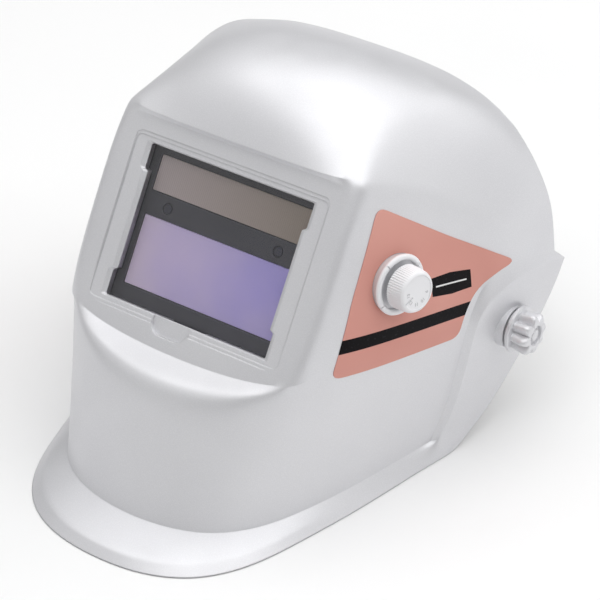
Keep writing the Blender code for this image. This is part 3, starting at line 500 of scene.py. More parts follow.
# %% The cage, in millimetres from the window centre
SHELL_ROWS = [
    ("lip_edge", [(0, -96.5, -126), (28, -94, -126), (53, -81.5, -126), (69, -57, -126), (77, -27, -126),
                  (85.5, 4, -126), (94, 50, -126), (96, 59, -126), (98, 68, -126), (99, 77, -125.5)]),
    ("lip_line", [(0, -91, -121.5), (26.5, -87.5, -121.5), (49, -75.5, -121.5), (65, -52.5, -121.5),
                  (73.5, -25, -121.5), (82, 5, -121.5), (91.5, 52, -121.5), (95.5, 61, -121),
                  (98.5, 74, -120), (100.5, 86, -120)]),
    ("chin_crease", [(0, -69.5, -116.5), (25, -66.5, -116.5), (46, -57.5, -116.5), (61.5, -39, -116.5),
                     (70, -18, -116.5), (79, 9, -116.5), (91.3, 63, -115.8), (95, 66.5, -115.5),
                     (99.5, 84, -113), (102.5, 100, -113)]),
    ("chin", [(0, -61, -92), (25, -58, -92), (46.5, -50, -92), (63.5, -33, -91), (73, -13, -90),
              (83, 15, -90), (95.3, 73.9, -93), (99, 76.5, -93), (105, 99, -92), (107, 119, -92)]),
    ("ledge_edge", [(0, -49, -49.5), (25, -46, -49), (47, -38.3, -47.2), (65, -24, -44.3), (76, -9, -41.5),
                    (87, 20, -45), (98.8, 77.9, -61.2), (102.5, 80.5, -61.5), (110.5, 106, -62.6),
                    (112, 139, -65)]),
    ("ledge_crease", [(0, -29.5, -46), (25, -29, -45.5), (50, -27, -43.5), (68, -22, -40), (75.5, -7, -36.5),
                      (85.5, 22, -33), (100.3, 79.6, -50.4), (104, 82.5, -51), (112.5, 110, -48),
                      (114.3, 145, -50)]),
    ("panel_low", [(0, -15.6, -25), (25, -15.6, -25), (51, -15.6, -25), (69.5, -14.8, -24.5), (75, -1, -21),
                   (84.5, 26, -18), (100.8, 83.8, -41.6), (105, 88, -41), (113.3, 112, -30),
                   (115.5, 147.5, -41)]),
    ("panel_high", [(0, 9.4, 15), (25, 9.4, 15), (51, 9.4, 15), (70, 10, 15.4), (74, 20.5, 15), (83.5, 43, 8),
                    (101.8, 90.2, -31.8), (105, 95, -28), (109, 114, -24), (113, 141, -34.5)]),
    ("panel_top", [(0, 27.2, 43.5), (25, 27.2, 43.5), (51, 27.3, 43.6), (70, 27.8, 43.8), (72.5, 37, 40.5),
                   (80.5, 59, 31), (99.5, 92, 2), (103.5, 101, -2), (108, 118, -7), (111, 141, -17)]),
    ("brow", [(0, 26.2, 46.2), (25, 26.2, 46.2), (50.5, 26.6, 46.4), (68, 28.3, 46.5), (70.5, 38.5, 43.5),
              (78.5, 61, 35), (97.5, 94, 9), (101.5, 103, 5), (106.5, 120, 1), (109, 141, -7)]),
    ("forehead", [(0, 38, 61.5), (25, 38.5, 61), (47, 41, 58.5), (59.5, 46.5, 55), (66, 57, 50.5),
                  (74, 75, 42.5), (90, 100, 27), (95, 109, 21.5), (101, 124, 14.5), (104, 141, 5)]),
    ("dome_front", [(0, 61, 75.5), (24, 62, 74.5), (42.5, 66.5, 69), (54.5, 74, 62.5), (62, 83, 57.5),
                    (70, 95, 51), (82, 110, 41.5), (87, 118, 35.5), (92.5, 129, 28.5), (95.5, 141, 18.5)]),
    ("dome_rear", [(0, 99, 73.5), (23, 100, 72.5), (41, 103, 67), (52, 107, 62), (59, 111, 58),
                   (68, 117, 53.5), (75, 124, 46), (79, 128, 42), (83.5, 134, 36), (86, 141, 29.5)]),
    ("crown_rim", [(0, 139, 50.5), (24, 139.5, 50), (43, 140, 48), (53, 140, 46), (59.5, 140.2, 44),
                   (65, 140.5, 42), (70, 140.8, 39.5), (73.5, 141, 37.5), (78, 141, 35), (82.5, 141, 31.5)]),
]
# How sharp each row's fold is along the given columns, 0 to 1.
ROW_FOLDS = {
    "lip_line": (0.9, 0, 7), "chin_crease": (1.0, 0, 7), "ledge_edge": (0.35, 0, 3),
    "ledge_crease": (1.0, 0, 4), "panel_top": (1.0, 0, 3), "brow": (1.0, 0, 3),
}
# Columns that carry folds: the side of the flat panel, and both sides of the step before the ear.
PANEL_SIDE, STEP_TOP, STEP_FOOT = 3, 6, 7
FINENESS = 3

# %% Raise a grid primitive to the cage and mark its folds
def at_cage(point):
    return from_window(*point) * MM


def crease(piece, chosen, amount):
    """Selects the edges whose two cage indices satisfy a rule, and creases them in edit mode."""
    only(piece)
    columns = len(SHELL_ROWS[0][1])
    bpy.ops.object.mode_set(mode="EDIT")
    bpy.ops.mesh.select_mode(type="EDGE")
    bpy.ops.mesh.select_all(action="DESELECT")
    bpy.ops.object.mode_set(mode="OBJECT")
    for edge in piece.data.edges:
        a, b = sorted(edge.vertices)
        edge.select = chosen(a // columns, a % columns, b // columns, b % columns)
    bpy.ops.object.mode_set(mode="EDIT")
    bpy.ops.transform.edge_crease(value=amount)
    bpy.ops.object.mode_set(mode="OBJECT")


def half_cage(name):
    """The left half of the outer surface, creased and open at the middle."""
    columns, names = len(SHELL_ROWS[0][1]), [row_name for row_name, _ in SHELL_ROWS]
    bpy.ops.object.select_all(action="DESELECT")
    bpy.ops.mesh.primitive_grid_add(x_subdivisions=columns - 1, y_subdivisions=len(names) - 1, size=1)
    piece = bpy.context.object
    piece.name = name
    for vertex in piece.data.vertices:
        row, column = divmod(vertex.index, columns)
        vertex.co = at_cage(SHELL_ROWS[row][1][column])
    piece.location = (0, 0, 0)
    chin, ledge, panel_low, panel_high, panel_top = (names.index(row_name) for row_name in (
        "chin_crease", "ledge_crease", "panel_low", "panel_high", "panel_top"))
    for row_name, (amount, first, last) in ROW_FOLDS.items():
        row = names.index(row_name)
        crease(piece, lambda r, c, r2, c2: r == r2 == row and first <= c and c2 <= last, amount)
    crease(piece, lambda r, c, r2, c2: r == r2 and r in (panel_low, panel_high) and c >= STEP_FOOT
           or r == r2 == panel_high and c == STEP_TOP
           or c == c2 == STEP_TOP and chin <= r and r2 <= panel_high
           or c == c2 == STEP_FOOT and chin <= r and r2 <= panel_low, 1.0)
    crease(piece, lambda r, c, r2, c2: c == c2 == PANEL_SIDE and ledge <= r and r2 <= panel_top, 0.35)
    only(piece)
    bpy.ops.object.mode_set(mode="EDIT")
    bpy.ops.mesh.select_all(action="SELECT")
    bpy.ops.mesh.normals_make_consistent(inside=False)
    bpy.ops.object.mode_set(mode="OBJECT")
    side = piece.data.polygons[len(piece.data.polygons) // 2]
    if side.normal.x < 0:
        piece.data.flip_normals()
    return piece


shell = half_cage("shell_moulding")
apply(shell, "MIRROR", use_clip=True, merge_threshold=1e-5)
apply(shell, "SUBSURF", levels=FINENESS, render_levels=FINENESS)
WALL = 2.5
apply(shell, "SOLIDIFY", thickness=WALL * MM, offset=-1, use_even_offset=True, material_offset_rim=1)
# Two slots with the same finish, only so that the rim's faces can be told from the others.
shell.data.materials.append(silver)
shell.data.materials.append(silver)


def round_rim(piece, width):
    """Bevels the two edges of the wall's rim, whose faces have their own finish slot."""
    only(piece)
    rim_sides = {}
    for face in piece.data.polygons:
        for key in face.edge_keys:
            rim_sides.setdefault(key, []).append(face.material_index)
    bpy.ops.object.mode_set(mode="EDIT")
    bpy.ops.mesh.select_mode(type="EDGE")
    bpy.ops.mesh.select_all(action="DESELECT")
    bpy.ops.object.mode_set(mode="OBJECT")
    for edge in piece.data.edges:
        edge.select = sorted(rim_sides[edge.key]) == [0, 1]
    bpy.ops.object.mode_set(mode="EDIT")
    bpy.ops.mesh.bevel(offset=width * MM, segments=3, affect="EDGES")
    bpy.ops.object.mode_set(mode="OBJECT")


round_rim(shell, 0.9)
print("shell faces:", len(shell.data.polygons))

# %% [markdown]
# The window, its shallow surround and the holes are cut with plain solids. The opening has side tabs
# that hold the cover lens, so its outline is drawn point by point, and it narrows towards the inside, so
# that the wall shows. The finger notch below it is a shallow recess with a floor, a little off the
# middle. A Bevel node in the silver finish rounds these cut edges when they catch the light.

# %% Cut the window, the surround, the holes and the flat rim
def opening_outline(half_w=50.0, half_h=39.3, tab=2.2, tab_y=26.0):
    return [(half_w, half_h), (-half_w, half_h), (-half_w, tab_y), (-half_w + tab, tab_y - 1),
            (-half_w + tab, 1 - tab_y), (-half_w, -tab_y), (-half_w, -half_h), (half_w, -half_h),
            (half_w, -tab_y), (half_w - tab, 1 - tab_y), (half_w - tab, tab_y - 1), (half_w, tab_y)]


def notch_outline(middle=-6.0, half_w=11.0, top=-37.0, bottom=-48.0, corner=4.0):
    return [(middle + half_w, top), (middle - half_w, top), (middle - half_w, bottom + corner),
            (middle - half_w + corner, bottom), (middle + half_w - corner, bottom),
            (middle + half_w, bottom + corner)]


def disc(name, radius, low, high, matrix, sides=64):
    return turned(name, [(radius, low), (radius, high)], matrix, sides)


def carve(tool, operation="DIFFERENCE"):
    cut(shell, tool, operation, "MANIFOLD")


below_rim = [[(-200, -250, z), (200, -250, z), (200, 250, z), (-200, 250, z)] for z in (-40, 0)]
carve(loft("rim_plane", below_rim, WORLD))
# (height in the wall, half width, half height) of the opening, from the inside out
levels = [(-8, 47.9, 38.7), (-2.4, 47.9, 38.7), (-1.0, 50, 39.3), (8, 50, 39.3)]
carve(loft("window_cut", [[(x, y, z) for x, y in rounded(opening_outline(w, h), 1.0, 3)]
                          for z, w, h in levels], PANEL))
carve(extruded("surround_cut", rectangle(114, 87, 4), -0.5, 6, PANEL))
carve(extruded("inner_surround_cut", rectangle(113, 83.2, 3.4), -0.95, 6, PANEL))
carve(extruded("thumb_notch_cut", rounded(notch_outline(), 3, 4), -1.9, 6, PANEL))
for x in (-63, 63):
    for y in (-34, 34):
        boss = PANEL @ Matrix.Translation((x, y, 0))
        carve(disc("screw_boss", 3.2, -7.5, -1.5, boss, 24), "UNION")
        carve(disc("screw_hole", 1.6, -9, -3.2, boss, 20))
EAR_INSIDE = 105.2
for matrix in EARS.values():
    carve(disc("ear_seat", 11, EAR_INSIDE, 111.5, matrix), "UNION")
    carve(disc("ear_face", 12, 90, EAR_INSIDE, matrix))
    carve(disc("ear_hole", 4.2, 95, 125, matrix, 32))
carve(disc("shade_boss", 14.6, -2.2, 1.6, SHADE), "UNION")
carve(disc("shade_inner_boss", 10.5, -4.5, -1, SHADE), "UNION")
carve(disc("shade_hole", 4.0, -12, 8, SHADE, 32))
smooth(shell, 32)
finish_in(shell, silver)
stands_for(shell, "shell", "shell_plastic", "helmet_shell")
print("shell:", len(shell.data.polygons), "faces after cutting")

# %% [markdown]
# ## The side film
# The film follows the shell, so it starts from the same cage. It is lifted off the surface by the
# thickness of its glue, given a thin wall, and trimmed by keeping only what lies inside a prism with
# rounded corners. The left film also has a round hole for the shade control. The right film is built on
# the left and then mirrored.

# %% Side films
# Backwards and upwards from the window's centre, in millimetres.
FILM_OUTLINE = [(36, 32.3), (72, 3.5), (110, -25), (96, -26.5), (84, -33.5), (77, -43.5), (73.5, -54.5),
                (-5.5, -42.6), (12.5, -6.6)]


def side_film(side_name, side):
    piece = half_cage("side_film_" + side_name)
    apply(piece, "SUBSURF", levels=FINENESS, render_levels=FINENESS)
    gap, thickness = 0.12, 0.25
    apply(piece, "SOLIDIFY", thickness=thickness * MM, offset=1 + 2 * gap / thickness, use_even_offset=True)
    across = frame_at(WINDOW, (0, 1, 0), (1, 0, 0))
    cut(piece, extruded("film_trim", rounded(FILM_OUTLINE, 6), 60, 120, across), "INTERSECT", "MANIFOLD")
    if side > 0:
        cut(piece, disc("film_hole", 14.9, -6, 8, SHADE), "DIFFERENCE", "MANIFOLD")
    else:
        piece.data.transform(Matrix.Scale(-1, 4, (1, 0, 0)))
        piece.data.flip_normals()
    smooth(piece, 40)
    finish_in(piece, film)
    return stands_for(piece, "shell", "decal_film", "side_decal_" + side_name)


side_film("left", 1)
side_film("right", -1)
print("film corners:", len(FILM_OUTLINE))

# %% [markdown]
# ## Pieces whose CAD shape is already right
# Most of the hidden hardware needs only softer edges. Each of these is copied from its CAD node, its
# triangles are merged and dissolved back into flat faces in edit mode, and its edges get a small bevel.
# Weighted normals then keep the flat faces looking flat. The round cable has no edges to soften, so it
# keeps its own mesh and just gets its finish.

# %% Softened copies of the CAD pieces
def refine(node, material, width):
    """A bevelled copy of a CAD piece that stands for it."""
    piece = nodes[node].copy()
    piece.data = nodes[node].data.copy()
    piece.name = node + "_finished"
    piece.data.name = piece.name
    for key in list(piece.keys()):
        del piece[key]
    bpy.context.scene.collection.objects.link(piece)
    only(piece)
    bpy.ops.object.mode_set(mode="EDIT")
    bpy.ops.mesh.select_all(action="SELECT")
    bpy.ops.mesh.remove_doubles(threshold=2e-6)
    bpy.ops.mesh.dissolve_limited(angle_limit=math.radians(2))
    bpy.ops.object.mode_set(mode="OBJECT")
    round_edges(piece, width, angle=25)
    smooth(piece)
    apply(piece, "WEIGHTED_NORMAL", keep_sharp=True)
    finish_in(piece, material)
    body = next(name for name, members in frame["record"]["behaviour"]["bodies"].items() if node in members)
    slot = next(s["material_slot"] for s in frame["record"]["subparts"] if s["node"] == node)
    return stands_for(piece, body, slot, node)


SOFTENED = [
    (silver, 0.5, ("filter_holder",)),
    (case_black, 0.4, ("filter_case_front", "filter_case_back", "retaining_frame", "shade_cover")),
    (case_black, 0.25, ("tilt_stop_left", "tilt_stop_right")),
    (clear, 0.2, ("cover_lens", "inner_lens")),
    (violet, 0.2, ("uv_ir_glass",)),
    (solar, 0.15, ("solar_cell",)),
    (lcd.material, 0.2, ("lcd_shutter",)),
    (board, 0.15, ("circuit_board",)),
    (sensor.material, 0.3, ("light_sensor_left", "light_sensor_right")),
    (grey, 0.35, ("latch_left", "latch_right", "sensitivity_dial", "delay_dial")),
    (grey, 0.2, ("friction_washer_left", "friction_washer_right", "ratchet_pinion")),
    (nylon, 0.5, ("side_arm_left", "side_arm_right")),
    (nylon, 0.35, ("arm_rivet_left", "arm_rivet_right", "crown_peg_1", "crown_peg_2")),
    (steel, 0.25, ("holder_screw_1", "holder_screw_2", "holder_screw_3", "holder_screw_4", "pivot_stud_left",
                   "pivot_stud_right", "shade_pot_nut", "shade_pot", "shade_shaft")),
    (steel, 0.15, ("thrust_washer_left", "thrust_washer_right")),
]
for material, width, names in SOFTENED:
    for name in names:
        refine(name, material, width)
finish_in(nodes["shade_cable"], rubber)
print("softened pieces:", sum(len(names) for _, _, names in SOFTENED))

# %% [markdown]
# ## Shade control
# The shade control is a white ring round a ribbed knob. Both are turned, so they come from a profile
# of radius and height. The knob's ribs are a ripple in its radius, and the ring is split by slots.

# %% Shade ring and knob
def ribs(radius, depth, count, sharp=1.0):
    """A radius that dips between ribs; a higher sharpness leaves narrower ribs."""
    def at(angle):
        crest = 0.5 + 0.5 * math.cos(count * angle)
        return radius - depth * (1 - crest ** sharp)
    return at


def blade(name, size, at, matrix, turn=0.0):
    """A plain box tool in local millimetres."""
    w, d, h = (half / 2 for half in size)
    spin = Matrix.Rotation(turn, 4, "Z") @ Matrix.Translation(at)
    ring = [(-w, -d), (w, -d), (w, d), (-w, d)]
    return loft(name, [[(x, y, z) for x, y in ring] for z in (-h, h)], matrix @ spin)


ring = turned("shade_ring", [(15.3, 1.9), (15.4, 2.6), (15.1, 3.3), (14.4, 3.75), (13.4, 3.75), (12.7, 3.4),
                             (12.4, 2.8), (12.4, 1.9)], SHADE, 96, "LOOP")
SLOT_ANGLES = (25, 118, 205, 298)
for turn in SLOT_ANGLES:
    cut(ring, blade("ring_slot", (5, 0.7, 1.6), (14, 0, 3.7), SHADE, math.radians(turn)))
smooth(ring, 40)
finish_in(ring, white)
stands_for(ring, "shell", "white_plastic", "shade_bezel")

RIB_COUNT = 56
skirt, grip = ribs(11.2, 0.55, RIB_COUNT, 0.7), ribs(10.7, 0.5, RIB_COUNT, 0.7)
knob = turned("shade_grip", [(9.8, 4.7), (skirt, 4.9), (skirt, 5.6), (grip, 13.0), (10.3, 13.8), (9.9, 14.5),
                             (9.2, 14.9), (8.7, 14.95), (8.45, 14.6), (3, 14.6), (0.4, 14.6)], SHADE,
              RIB_COUNT * 5)
cut(knob, disc("shaft_bore", 3.2, 3, 13.6, SHADE, 32))
pointer = blade("pointer_cut", (5.2, 0.9, 1.0), (6.2, 0, 14.7), SHADE, math.radians(200))
cut(knob, pointer)
smooth(knob, 38)
finish_in(knob, white)
stands_for(knob, "shade_dial", "white_plastic", "shade_knob")
print("shade knob ribs:", RIB_COUNT)


# %% [markdown]
# Shade numbers run from 9 to 13 round the knob's face. Text is made as a flat curve with a little
# thickness, turned into a mesh, and only then placed.

# %% Numbers on the knob's face
NUMBER_SIZE, NUMBER_RADIUS, NUMBER_HEIGHT = 2.6, 5.9, 14.62


def knob_number(words, degrees):
    only()
    bpy.ops.object.text_add(location=(0, 0, 0))
    piece = bpy.context.object
    piece.data.body = words
    piece.data.size = NUMBER_SIZE
    piece.data.extrude = 0.12
    piece.data.align_x = piece.data.align_y = "CENTER"
    piece.data.resolution_u = 4
    bpy.ops.object.convert(target="MESH")
    piece.name = "shade_number_" + words
    turn = Matrix.Rotation(math.radians(degrees), 4, "Z")
    settle(piece, SHADE @ turn @ Matrix.Translation((0, NUMBER_RADIUS, NUMBER_HEIGHT)))
    outward(piece)
    finish_in(piece, engraved)
    return stands_for(piece, "shade_dial", "white_plastic")


engraved = moulded("engraved_grey", (0.5, 0.5, 0.52), (0.58, 0.58, 0.6), 0.5)
for i, words in enumerate(("9", "10", "11", "12", "13")):
    knob_number(words, 250 - i * 42)

# %% [markdown]
# ## Ear knobs
# Each ear knob is a flanged star grip that screws onto the pivot stud. Eight fins stand round a hub,
# flare slightly outwards and end in a ring round the stud's end. One turned profile whose radius
# ripples eight times makes flange, fins and hub in one piece.

# %% Ear knobs
FLANGE = 113.1      # how far out from the middle of the helmet the knob's flange lies


def ear_knob(side_name, matrix):
    def fins(radius, depth):
        return ribs(radius, depth, 8, 0.55)

    flange = [(3.8, 0), (11.6, 0), (12.2, 0.4), (12.2, 1.6), (11.7, 2.1)]
    star = [(fins(10.0, 2.6), 2.3), (fins(10.2, 3.4), 3.4), (fins(11.0, 3.9), 8.2), (fins(11.0, 3.8), 9.6),
            (fins(10.5, 3.4), 10.7), (fins(9.6, 2.6), 11.3)]
    cap = [(7.0, 11.6), (5.6, 11.7), (5.2, 11.4), (5.0, 9.9), (3.4, 9.9), (3.2, 10.9), (2.6, 11.3),
           (0.05, 11.4), (0.05, 9.3), (3.8, 9.3)]
    profile = flange + star + cap
    piece = turned("ear_grip_" + side_name, [(r, FLANGE + h) for r, h in profile], matrix, 160, "LOOP")
    smooth(piece, 40)
    finish_in(piece, silver)
    return stands_for(piece, "ear_knob_" + side_name, "shell_plastic", "tension_knob_" + side_name)


for side_name, matrix in EARS.items():
    ear_knob(side_name, matrix)
print("ear knobs:", len(EARS))

# %% [markdown]
# ## Headgear
# The headband, straps and ratchet case are ribbons that follow an ellipse round the head. Each station
# along a ribbon is an angle and a section, written as distance outside the ellipse and height, and the
# stations are joined into one solid. Slots and holes are cut afterwards, then all edges are rounded.

# %% Ribbons round the head
HEAD_W, HEAD_L = 78.0, 101.0        # half the band's width and half its length


def band_point(angle, offset, height):
    """A point at an angle from the wearer's left, so many millimetres outside the ellipse."""
    turn = math.radians(angle)
    normal = Vector((math.cos(turn) / HEAD_W, math.sin(turn) / HEAD_L)).normalized()
    return (HEAD_W * math.cos(turn) + normal.x * offset, HEAD_L * math.sin(turn) + normal.y * offset, height)


def spread(first, last, count):
    """Even steps from first to last, both included."""
    return [first + (last - first) * i / count for i in range(count + 1)]


def ribbon(name, stations):
    return loft(name, [[band_point(angle, *point) for point in section] for angle, section in stations], BAND)


def flat(inner, outer, low, high):
    """A rectangular section: two distances outside the ellipse and two heights."""
    return [(inner, low), (outer, low), (outer, high), (inner, high)]


def on_band(angle, height=0):
    """A frame on the band: local X along it, local Z outwards."""
    at = Vector(band_point(angle, 0, height))
    out = Vector(band_point(angle, 1, height)) - at
    x = Vector((-out.y, out.x, 0))
    axes = Matrix((x, out.cross(x), out)).transposed().to_4x4()
    return BAND @ Matrix.Translation(at) @ axes


def slot_tool(length, width, matrix, depth=6):
    return extruded("slot_tool", rectangle(length, width, width / 2.1, steps=4), -depth, depth, matrix)


band = ribbon("headband_strap", [(a, flat(0, 1.8, -13, 13)) for a in spread(160, 380, 110)])
for angle in (168, 175, 365, 372):
    for height in (-6, 6):
        cut(band, slot_tool(5.5, 2.6, on_band(angle, height)), solver="MANIFOLD")
for angle in (222, 238, 254, 286, 302, 318):
    cut(band, slot_tool(16, 5, on_band(angle, 5)), solver="MANIFOLD")
for side_name, matrix in EARS.items():
    height = 16 if side_name == "left" else -16
    cut(band, disc("rivet_hole", 2.1, 70, 81.5, matrix @ Matrix.Translation((6, height, 0)), 24))
round_edges(band, 0.5)
smooth(band)
finish_in(band, nylon)
stands_for(band, "headgear", "headgear_plastic", "headband_front")

# %% [markdown]
# The rear straps carry a rack of teeth where they pass the pinion. On the helmet they bend as the nape
# unit slides in; here each is built as one fixed piece, tied to no body.

# %% Toothed rear straps
PINION, TOOTH, TEETH = 3.95, 0.55, 10
PITCH = 2 * math.pi * PINION / TEETH


def rear_strap(side_name, side):
    stations = [(a, -9.0) for a in spread(9, 51, 28)] + [(53.5, -6.5), (55.5, -1.0)]
    stations += [(a, PINION + 0.5) for a in spread(58, 76, 16)]
    for step in range(-56, 57):
        along = step * PITCH / 8
        stations.append((90 + along * math.degrees(1 / HEAD_W),
                         PINION + 0.5 + TOOTH * math.cos(2 * math.pi * along / PITCH)))
    rings = []
    for angle, low in stations:
        section = flat(2.1, 3.7, low, 9.0)
        rings.append((angle, section) if side > 0 else (180 - angle, [(off, -z) for off, z in section]))
    piece = ribbon("rear_strap_fine_" + side_name, rings)
    for angle in (16, 23, 30, 37, 44):
        at = on_band(angle if side > 0 else 180 - angle)
        cut(piece, slot_tool(4.6, 2.4, at, 7), solver="MANIFOLD")
    round_edges(piece, 0.3, 1, 50)
    smooth(piece)
    finish_in(piece, nylon)
    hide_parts("rear_strap_" + side_name)
    ends = [BAND @ Vector(band_point(a if side > 0 else 180 - a, 2, 0)) for a in (26, 84)]
    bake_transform(piece)
    return piece


rear_strap("left", 1)
rear_strap("right", -1)
print("rack teeth every", round(PITCH, 2), "mm")

# %% [markdown]
# Two half straps cross over the crown and overlap at the top, where pegs hold one of several holes. They
# lie in an arch across the head, so each is a ribbon in the plane of the ears.

# %% Crown straps
CROWN_W, CROWN_H, CROWN_FOOT = 80.9, 76, 20


def crown_point(angle, offset):
    turn = math.radians(angle)
    return (CROWN_W + offset) * math.cos(turn), CROWN_FOOT + (CROWN_H + offset) * math.sin(turn)


def crown_strap(side_name, side):
    shift = 0.0 if side > 0 else -1.9
    centre = [(CROWN_W, 5.0), (CROWN_W, 11.0), (CROWN_W, 18.0)]
    centre += [crown_point(a, shift * min(1, a / 40)) for a in spread(3, 106, 60)]
    rings = []
    for i, (x, z) in enumerate(centre):
        before, after = centre[max(i - 1, 0)], centre[min(i + 1, len(centre) - 1)]
        along = Vector((after[0] - before[0], after[1] - before[1])).normalized()
        out = Vector((along.y, -along.x)) * 0.8
        half_w = 10.0 if i < 6 else 8.8
        rings.append([(side * (x + sx * out.x), 6 + sy * half_w, z + sx * out.y)
                      for sx, sy in ((-1, -1), (1, -1), (1, 1), (-1, 1))])
    matrix = frame_at(pivot, (1, 0, 0), (0, 0, 1))
    piece = loft("crown_strap_fine_" + side_name, rings, matrix)
    for angle in (60, 66, 72, 78, 84, 90, 96):
        turn = math.radians(angle if side > 0 else 180 - angle)
        x, z = crown_point(angle, 0)
        at = frame_at(pivot + Vector((side * x, 6, z)), (0, 1, 0), (math.cos(turn), 0, math.sin(turn)))
        cut(piece, disc("peg_hole", 2.3, -6, 6, at, 24), solver="MANIFOLD")
    at = EARS[side_name] @ Matrix.Translation((6, side * 16, 0))
    cut(piece, disc("rivet_hole", 2.1, 79, 83, at, 24), solver="MANIFOLD")
    round_edges(piece, 0.35)
    smooth(piece)
    finish_in(piece, nylon)
    return stands_for(piece, "headgear", "headgear_plastic", "crown_strap_" + side_name)


crown_strap("left", 1)
crown_strap("right", -1)

# %% [markdown]
# The sweatband and the nape pad are foam in a knitted cover. Their section is a pillow, thick in the
# middle and pinched at the seams, and a row of stitched dimples runs along it. A ribbon with a rounded
# section, subdivided once, gives that shape without a simulation.

# %% Sweatband and nape pad
AROUND, STITCH_EVERY = 20, 6        # points round a section, and sections from dimple to dimple


def padded_ribbon(name, first, last, inner, outer, half_height, count, dimple, replaced, body):
    middle, half_thick = (inner + outer) / 2, (outer - inner) / 2
    rings = []
    for i, angle in enumerate(spread(first, last, count)):
        near_end = min(i, count - i)
        swell = min(1.0, 0.45 + 0.28 * near_end)
        pinch = 1 - dimple * (0.5 + 0.5 * math.cos(2 * math.pi * i / STITCH_EVERY))
        ring = []
        for step in range(AROUND):
            turn = 2 * math.pi * step / AROUND
            c, s = math.cos(turn), math.sin(turn)
            fat = math.copysign(abs(c) ** 0.55, c)
            tall = math.copysign(abs(s) ** 0.75, s)
            depth = half_thick * fat * swell * (pinch if fat < 0 else 1)
            ring.append((middle + depth, half_height * tall))
        rings.append((angle, ring))
    piece = ribbon(name, rings)
    apply(piece, "SUBSURF", levels=1, render_levels=1)
    smooth(piece, 60)
    finish_in(piece, fabric)
    return stands_for(piece, body, "sweatband_fabric", replaced)


padded_ribbon("sweatband_pad", 208, 332, -5.2, -0.35, 13.8, 72, 0.22, "sweatband", "headgear")
padded_ribbon("nape_cushion", 71, 109, -6.4, -0.6, 13.2, 24, 0.18, "nape_pad", "nape_unit")
print("padded pieces: 2")

# %% [markdown]
# ## Ratchet
# The ratchet case is a curved channel with a round seat for the knob. The knob has twelve deep finger
# grooves, a domed face and a rubber ring, so it is turned like the others.

# %% Ratchet case and knob
base = ribbon("ratchet_back_plate", [(a, flat(-0.2, 1.8, -15, 15)) for a in spread(65, 115, 40)])
round_edges(base, 0.5)
channel = [(2.1, -15), (6.0, -15), (6.0, 15), (2.1, 15), (2.1, 12.8), (4.2, 12.8), (4.2, -12.8), (2.1, -12.8)]
case = ribbon("ratchet_case", [(a, channel) for a in spread(66, 114, 40)])
round_edges(case, 0.7)
cut(case, disc("knob_seat", 12, 4.4, 7.0, NAPE), "UNION")
cut(case, disc("shaft_hole", 2.6, 0, 12, NAPE, 32))
for side in (-1, 1):
    for height in (-7, 0, 7):
        cut(case, slot_tool(7, 1.6, on_band(90 + side * 17, height) @ Matrix.Translation((0, 0, 12)), 6.6))
for piece, node in ((base, "ratchet_base"), (case, "ratchet_cover")):
    smooth(piece)
    finish_in(piece, nylon)
    stands_for(piece, "nape_unit", "headgear_plastic", node)

grooves, rim = ribs(17.5, 1.5, 12, 0.6), ribs(16.9, 1.3, 12, 0.6)
dial = turned("ratchet_grip", [(15.2, 7.4), (16.4, 7.5), (ribs(17.2, 1.2, 12, 0.6), 8.6), (grooves, 10.2),
                               (grooves, 17.0), (rim, 18.6), (ribs(15.6, 0.7, 12, 0.6), 19.6), (14.2, 20.0),
                               (11.4, 20.0), (10.8, 19.4), (9.0, 19.3), (3.0, 19.7), (0.3, 19.75)], NAPE, 192)
cut(dial, disc("ratchet_bore", 2.5, 5, 15.4, NAPE, 32))
smooth(dial, 38)
finish_in(dial, rubber)
stands_for(dial, "nape_dial", "headgear_plastic", "ratchet_knob")
print("headgear pieces done")

# %% [markdown]
# ## Stage, light and camera
# The helmet stands on a plain pale floor in soft studio light: a big panel overhead, one from the
# wearer's left and a weaker one in front. The air itself glows, more from above than from below, and it
# is plain white where it is seen directly. The camera looks down from the front left through a long
# lens, so the lines hardly converge.

# %% Floor
only()
bpy.ops.mesh.primitive_plane_add(size=9, location=(0, 0, -0.0004))
ground = bpy.context.object
ground.name = "studio_floor"
floor_paint = Paint("pale_floor", (0.9, 0.9, 0.9), 0.85)
floor_paint.set("Base Color", floor_paint.mix(floor_paint.range(floor_paint.noise(3), 0.4, 0.6),
                                              (0.9, 0.9, 0.9), (0.92, 0.92, 0.92)))
finish_in(ground, floor_paint.material)
ground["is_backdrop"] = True


# %% Soft studio light
def soft_light(name, at, size, power):
    """An area light that faces the helmet."""
    lamp = bpy.data.lights.new(name, "AREA")
    lamp.energy, lamp.size = power, size
    made = bpy.data.objects.new(name, lamp)
    bpy.context.scene.collection.objects.link(made)
    made.location = at
    made.rotation_euler = (Vector((0, 0, 0.1)) - Vector(at)).to_track_quat("-Z", "Y").to_euler()


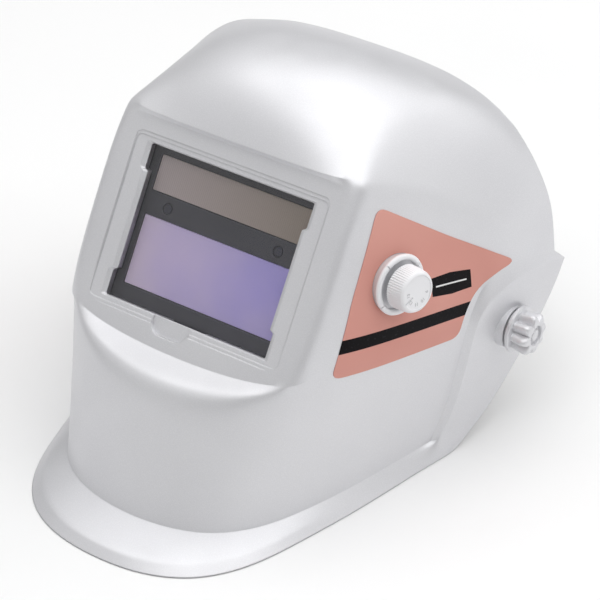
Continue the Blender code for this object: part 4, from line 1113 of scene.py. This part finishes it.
soft_light("overhead_panel", (0.15, 0.15, 1.6), 2.4, 28)
soft_light("left_panel", (1.4, 1.1, 0.9), 2.2, 8)
soft_light("front_panel", (-0.9, -1.4, 0.7), 1.7, 2.2)
world = bpy.data.worlds.new("studio_air")
bpy.context.scene.world = world
world.use_nodes = True
air = world.node_tree
air.nodes["Background"].inputs["Color"].default_value = (1, 1, 1, 1)
place = air.nodes.new("ShaderNodeTexCoord")
height = air.nodes.new("ShaderNodeSeparateXYZ")
glow = air.nodes.new("ShaderNodeMapRange")
for socket, value in {"From Min": -0.1, "From Max": 0.9, "To Min": 0.13, "To Max": 0.5}.items():
    glow.inputs[socket].default_value = value
air.links.new(place.outputs["Generated"], height.inputs[0])
air.links.new(height.outputs["Z"], glow.inputs[0])
rays = air.nodes.new("ShaderNodeLightPath")
seen = air.nodes.new("ShaderNodeMath")
seen.operation = "MAXIMUM"
air.links.new(glow.outputs[0], seen.inputs[0])
air.links.new(rays.outputs["Is Camera Ray"], seen.inputs[1])
air.links.new(seen.outputs[0], air.nodes["Background"].inputs["Strength"])
bpy.context.scene.view_settings.view_transform = "Standard"

# %% Camera
CAMERA_AT = from_window(609.3, -792.8, 659.4) * MM
AZIMUTH, ELEVATION = math.radians(34.949), math.radians(34.599)
back = Vector((math.sin(AZIMUTH) * math.cos(ELEVATION), -math.cos(AZIMUTH) * math.cos(ELEVATION),
               math.sin(ELEVATION)))
right = Vector((math.cos(AZIMUTH), math.sin(AZIMUTH), 0))
lens = bpy.data.cameras.new("studio_camera")
lens.lens, lens.sensor_width = 150, 36
camera = bpy.data.objects.new("studio_camera", lens)
bpy.context.scene.collection.objects.link(camera)
aim = Matrix((right, back.cross(right), back)).transposed().to_4x4()
camera.matrix_world = Matrix.Translation(CAMERA_AT) @ aim
bpy.context.scene.camera = camera

# %% [markdown]
# The boxes of the CAD model and of the visual model are both printed. The visual model must fill the
# same box as the CAD model.

# %% Print the two boxes and finish
visual_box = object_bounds()
as_lists = [[list(corner) for corner in box] for box in (cad_box, visual_box)]
for label, (low, high) in zip(("CAD", "visual"), as_lists):
    print(label, "box in mm:", [round((h - l) / MM, 1) for l, h in zip(low, high)])
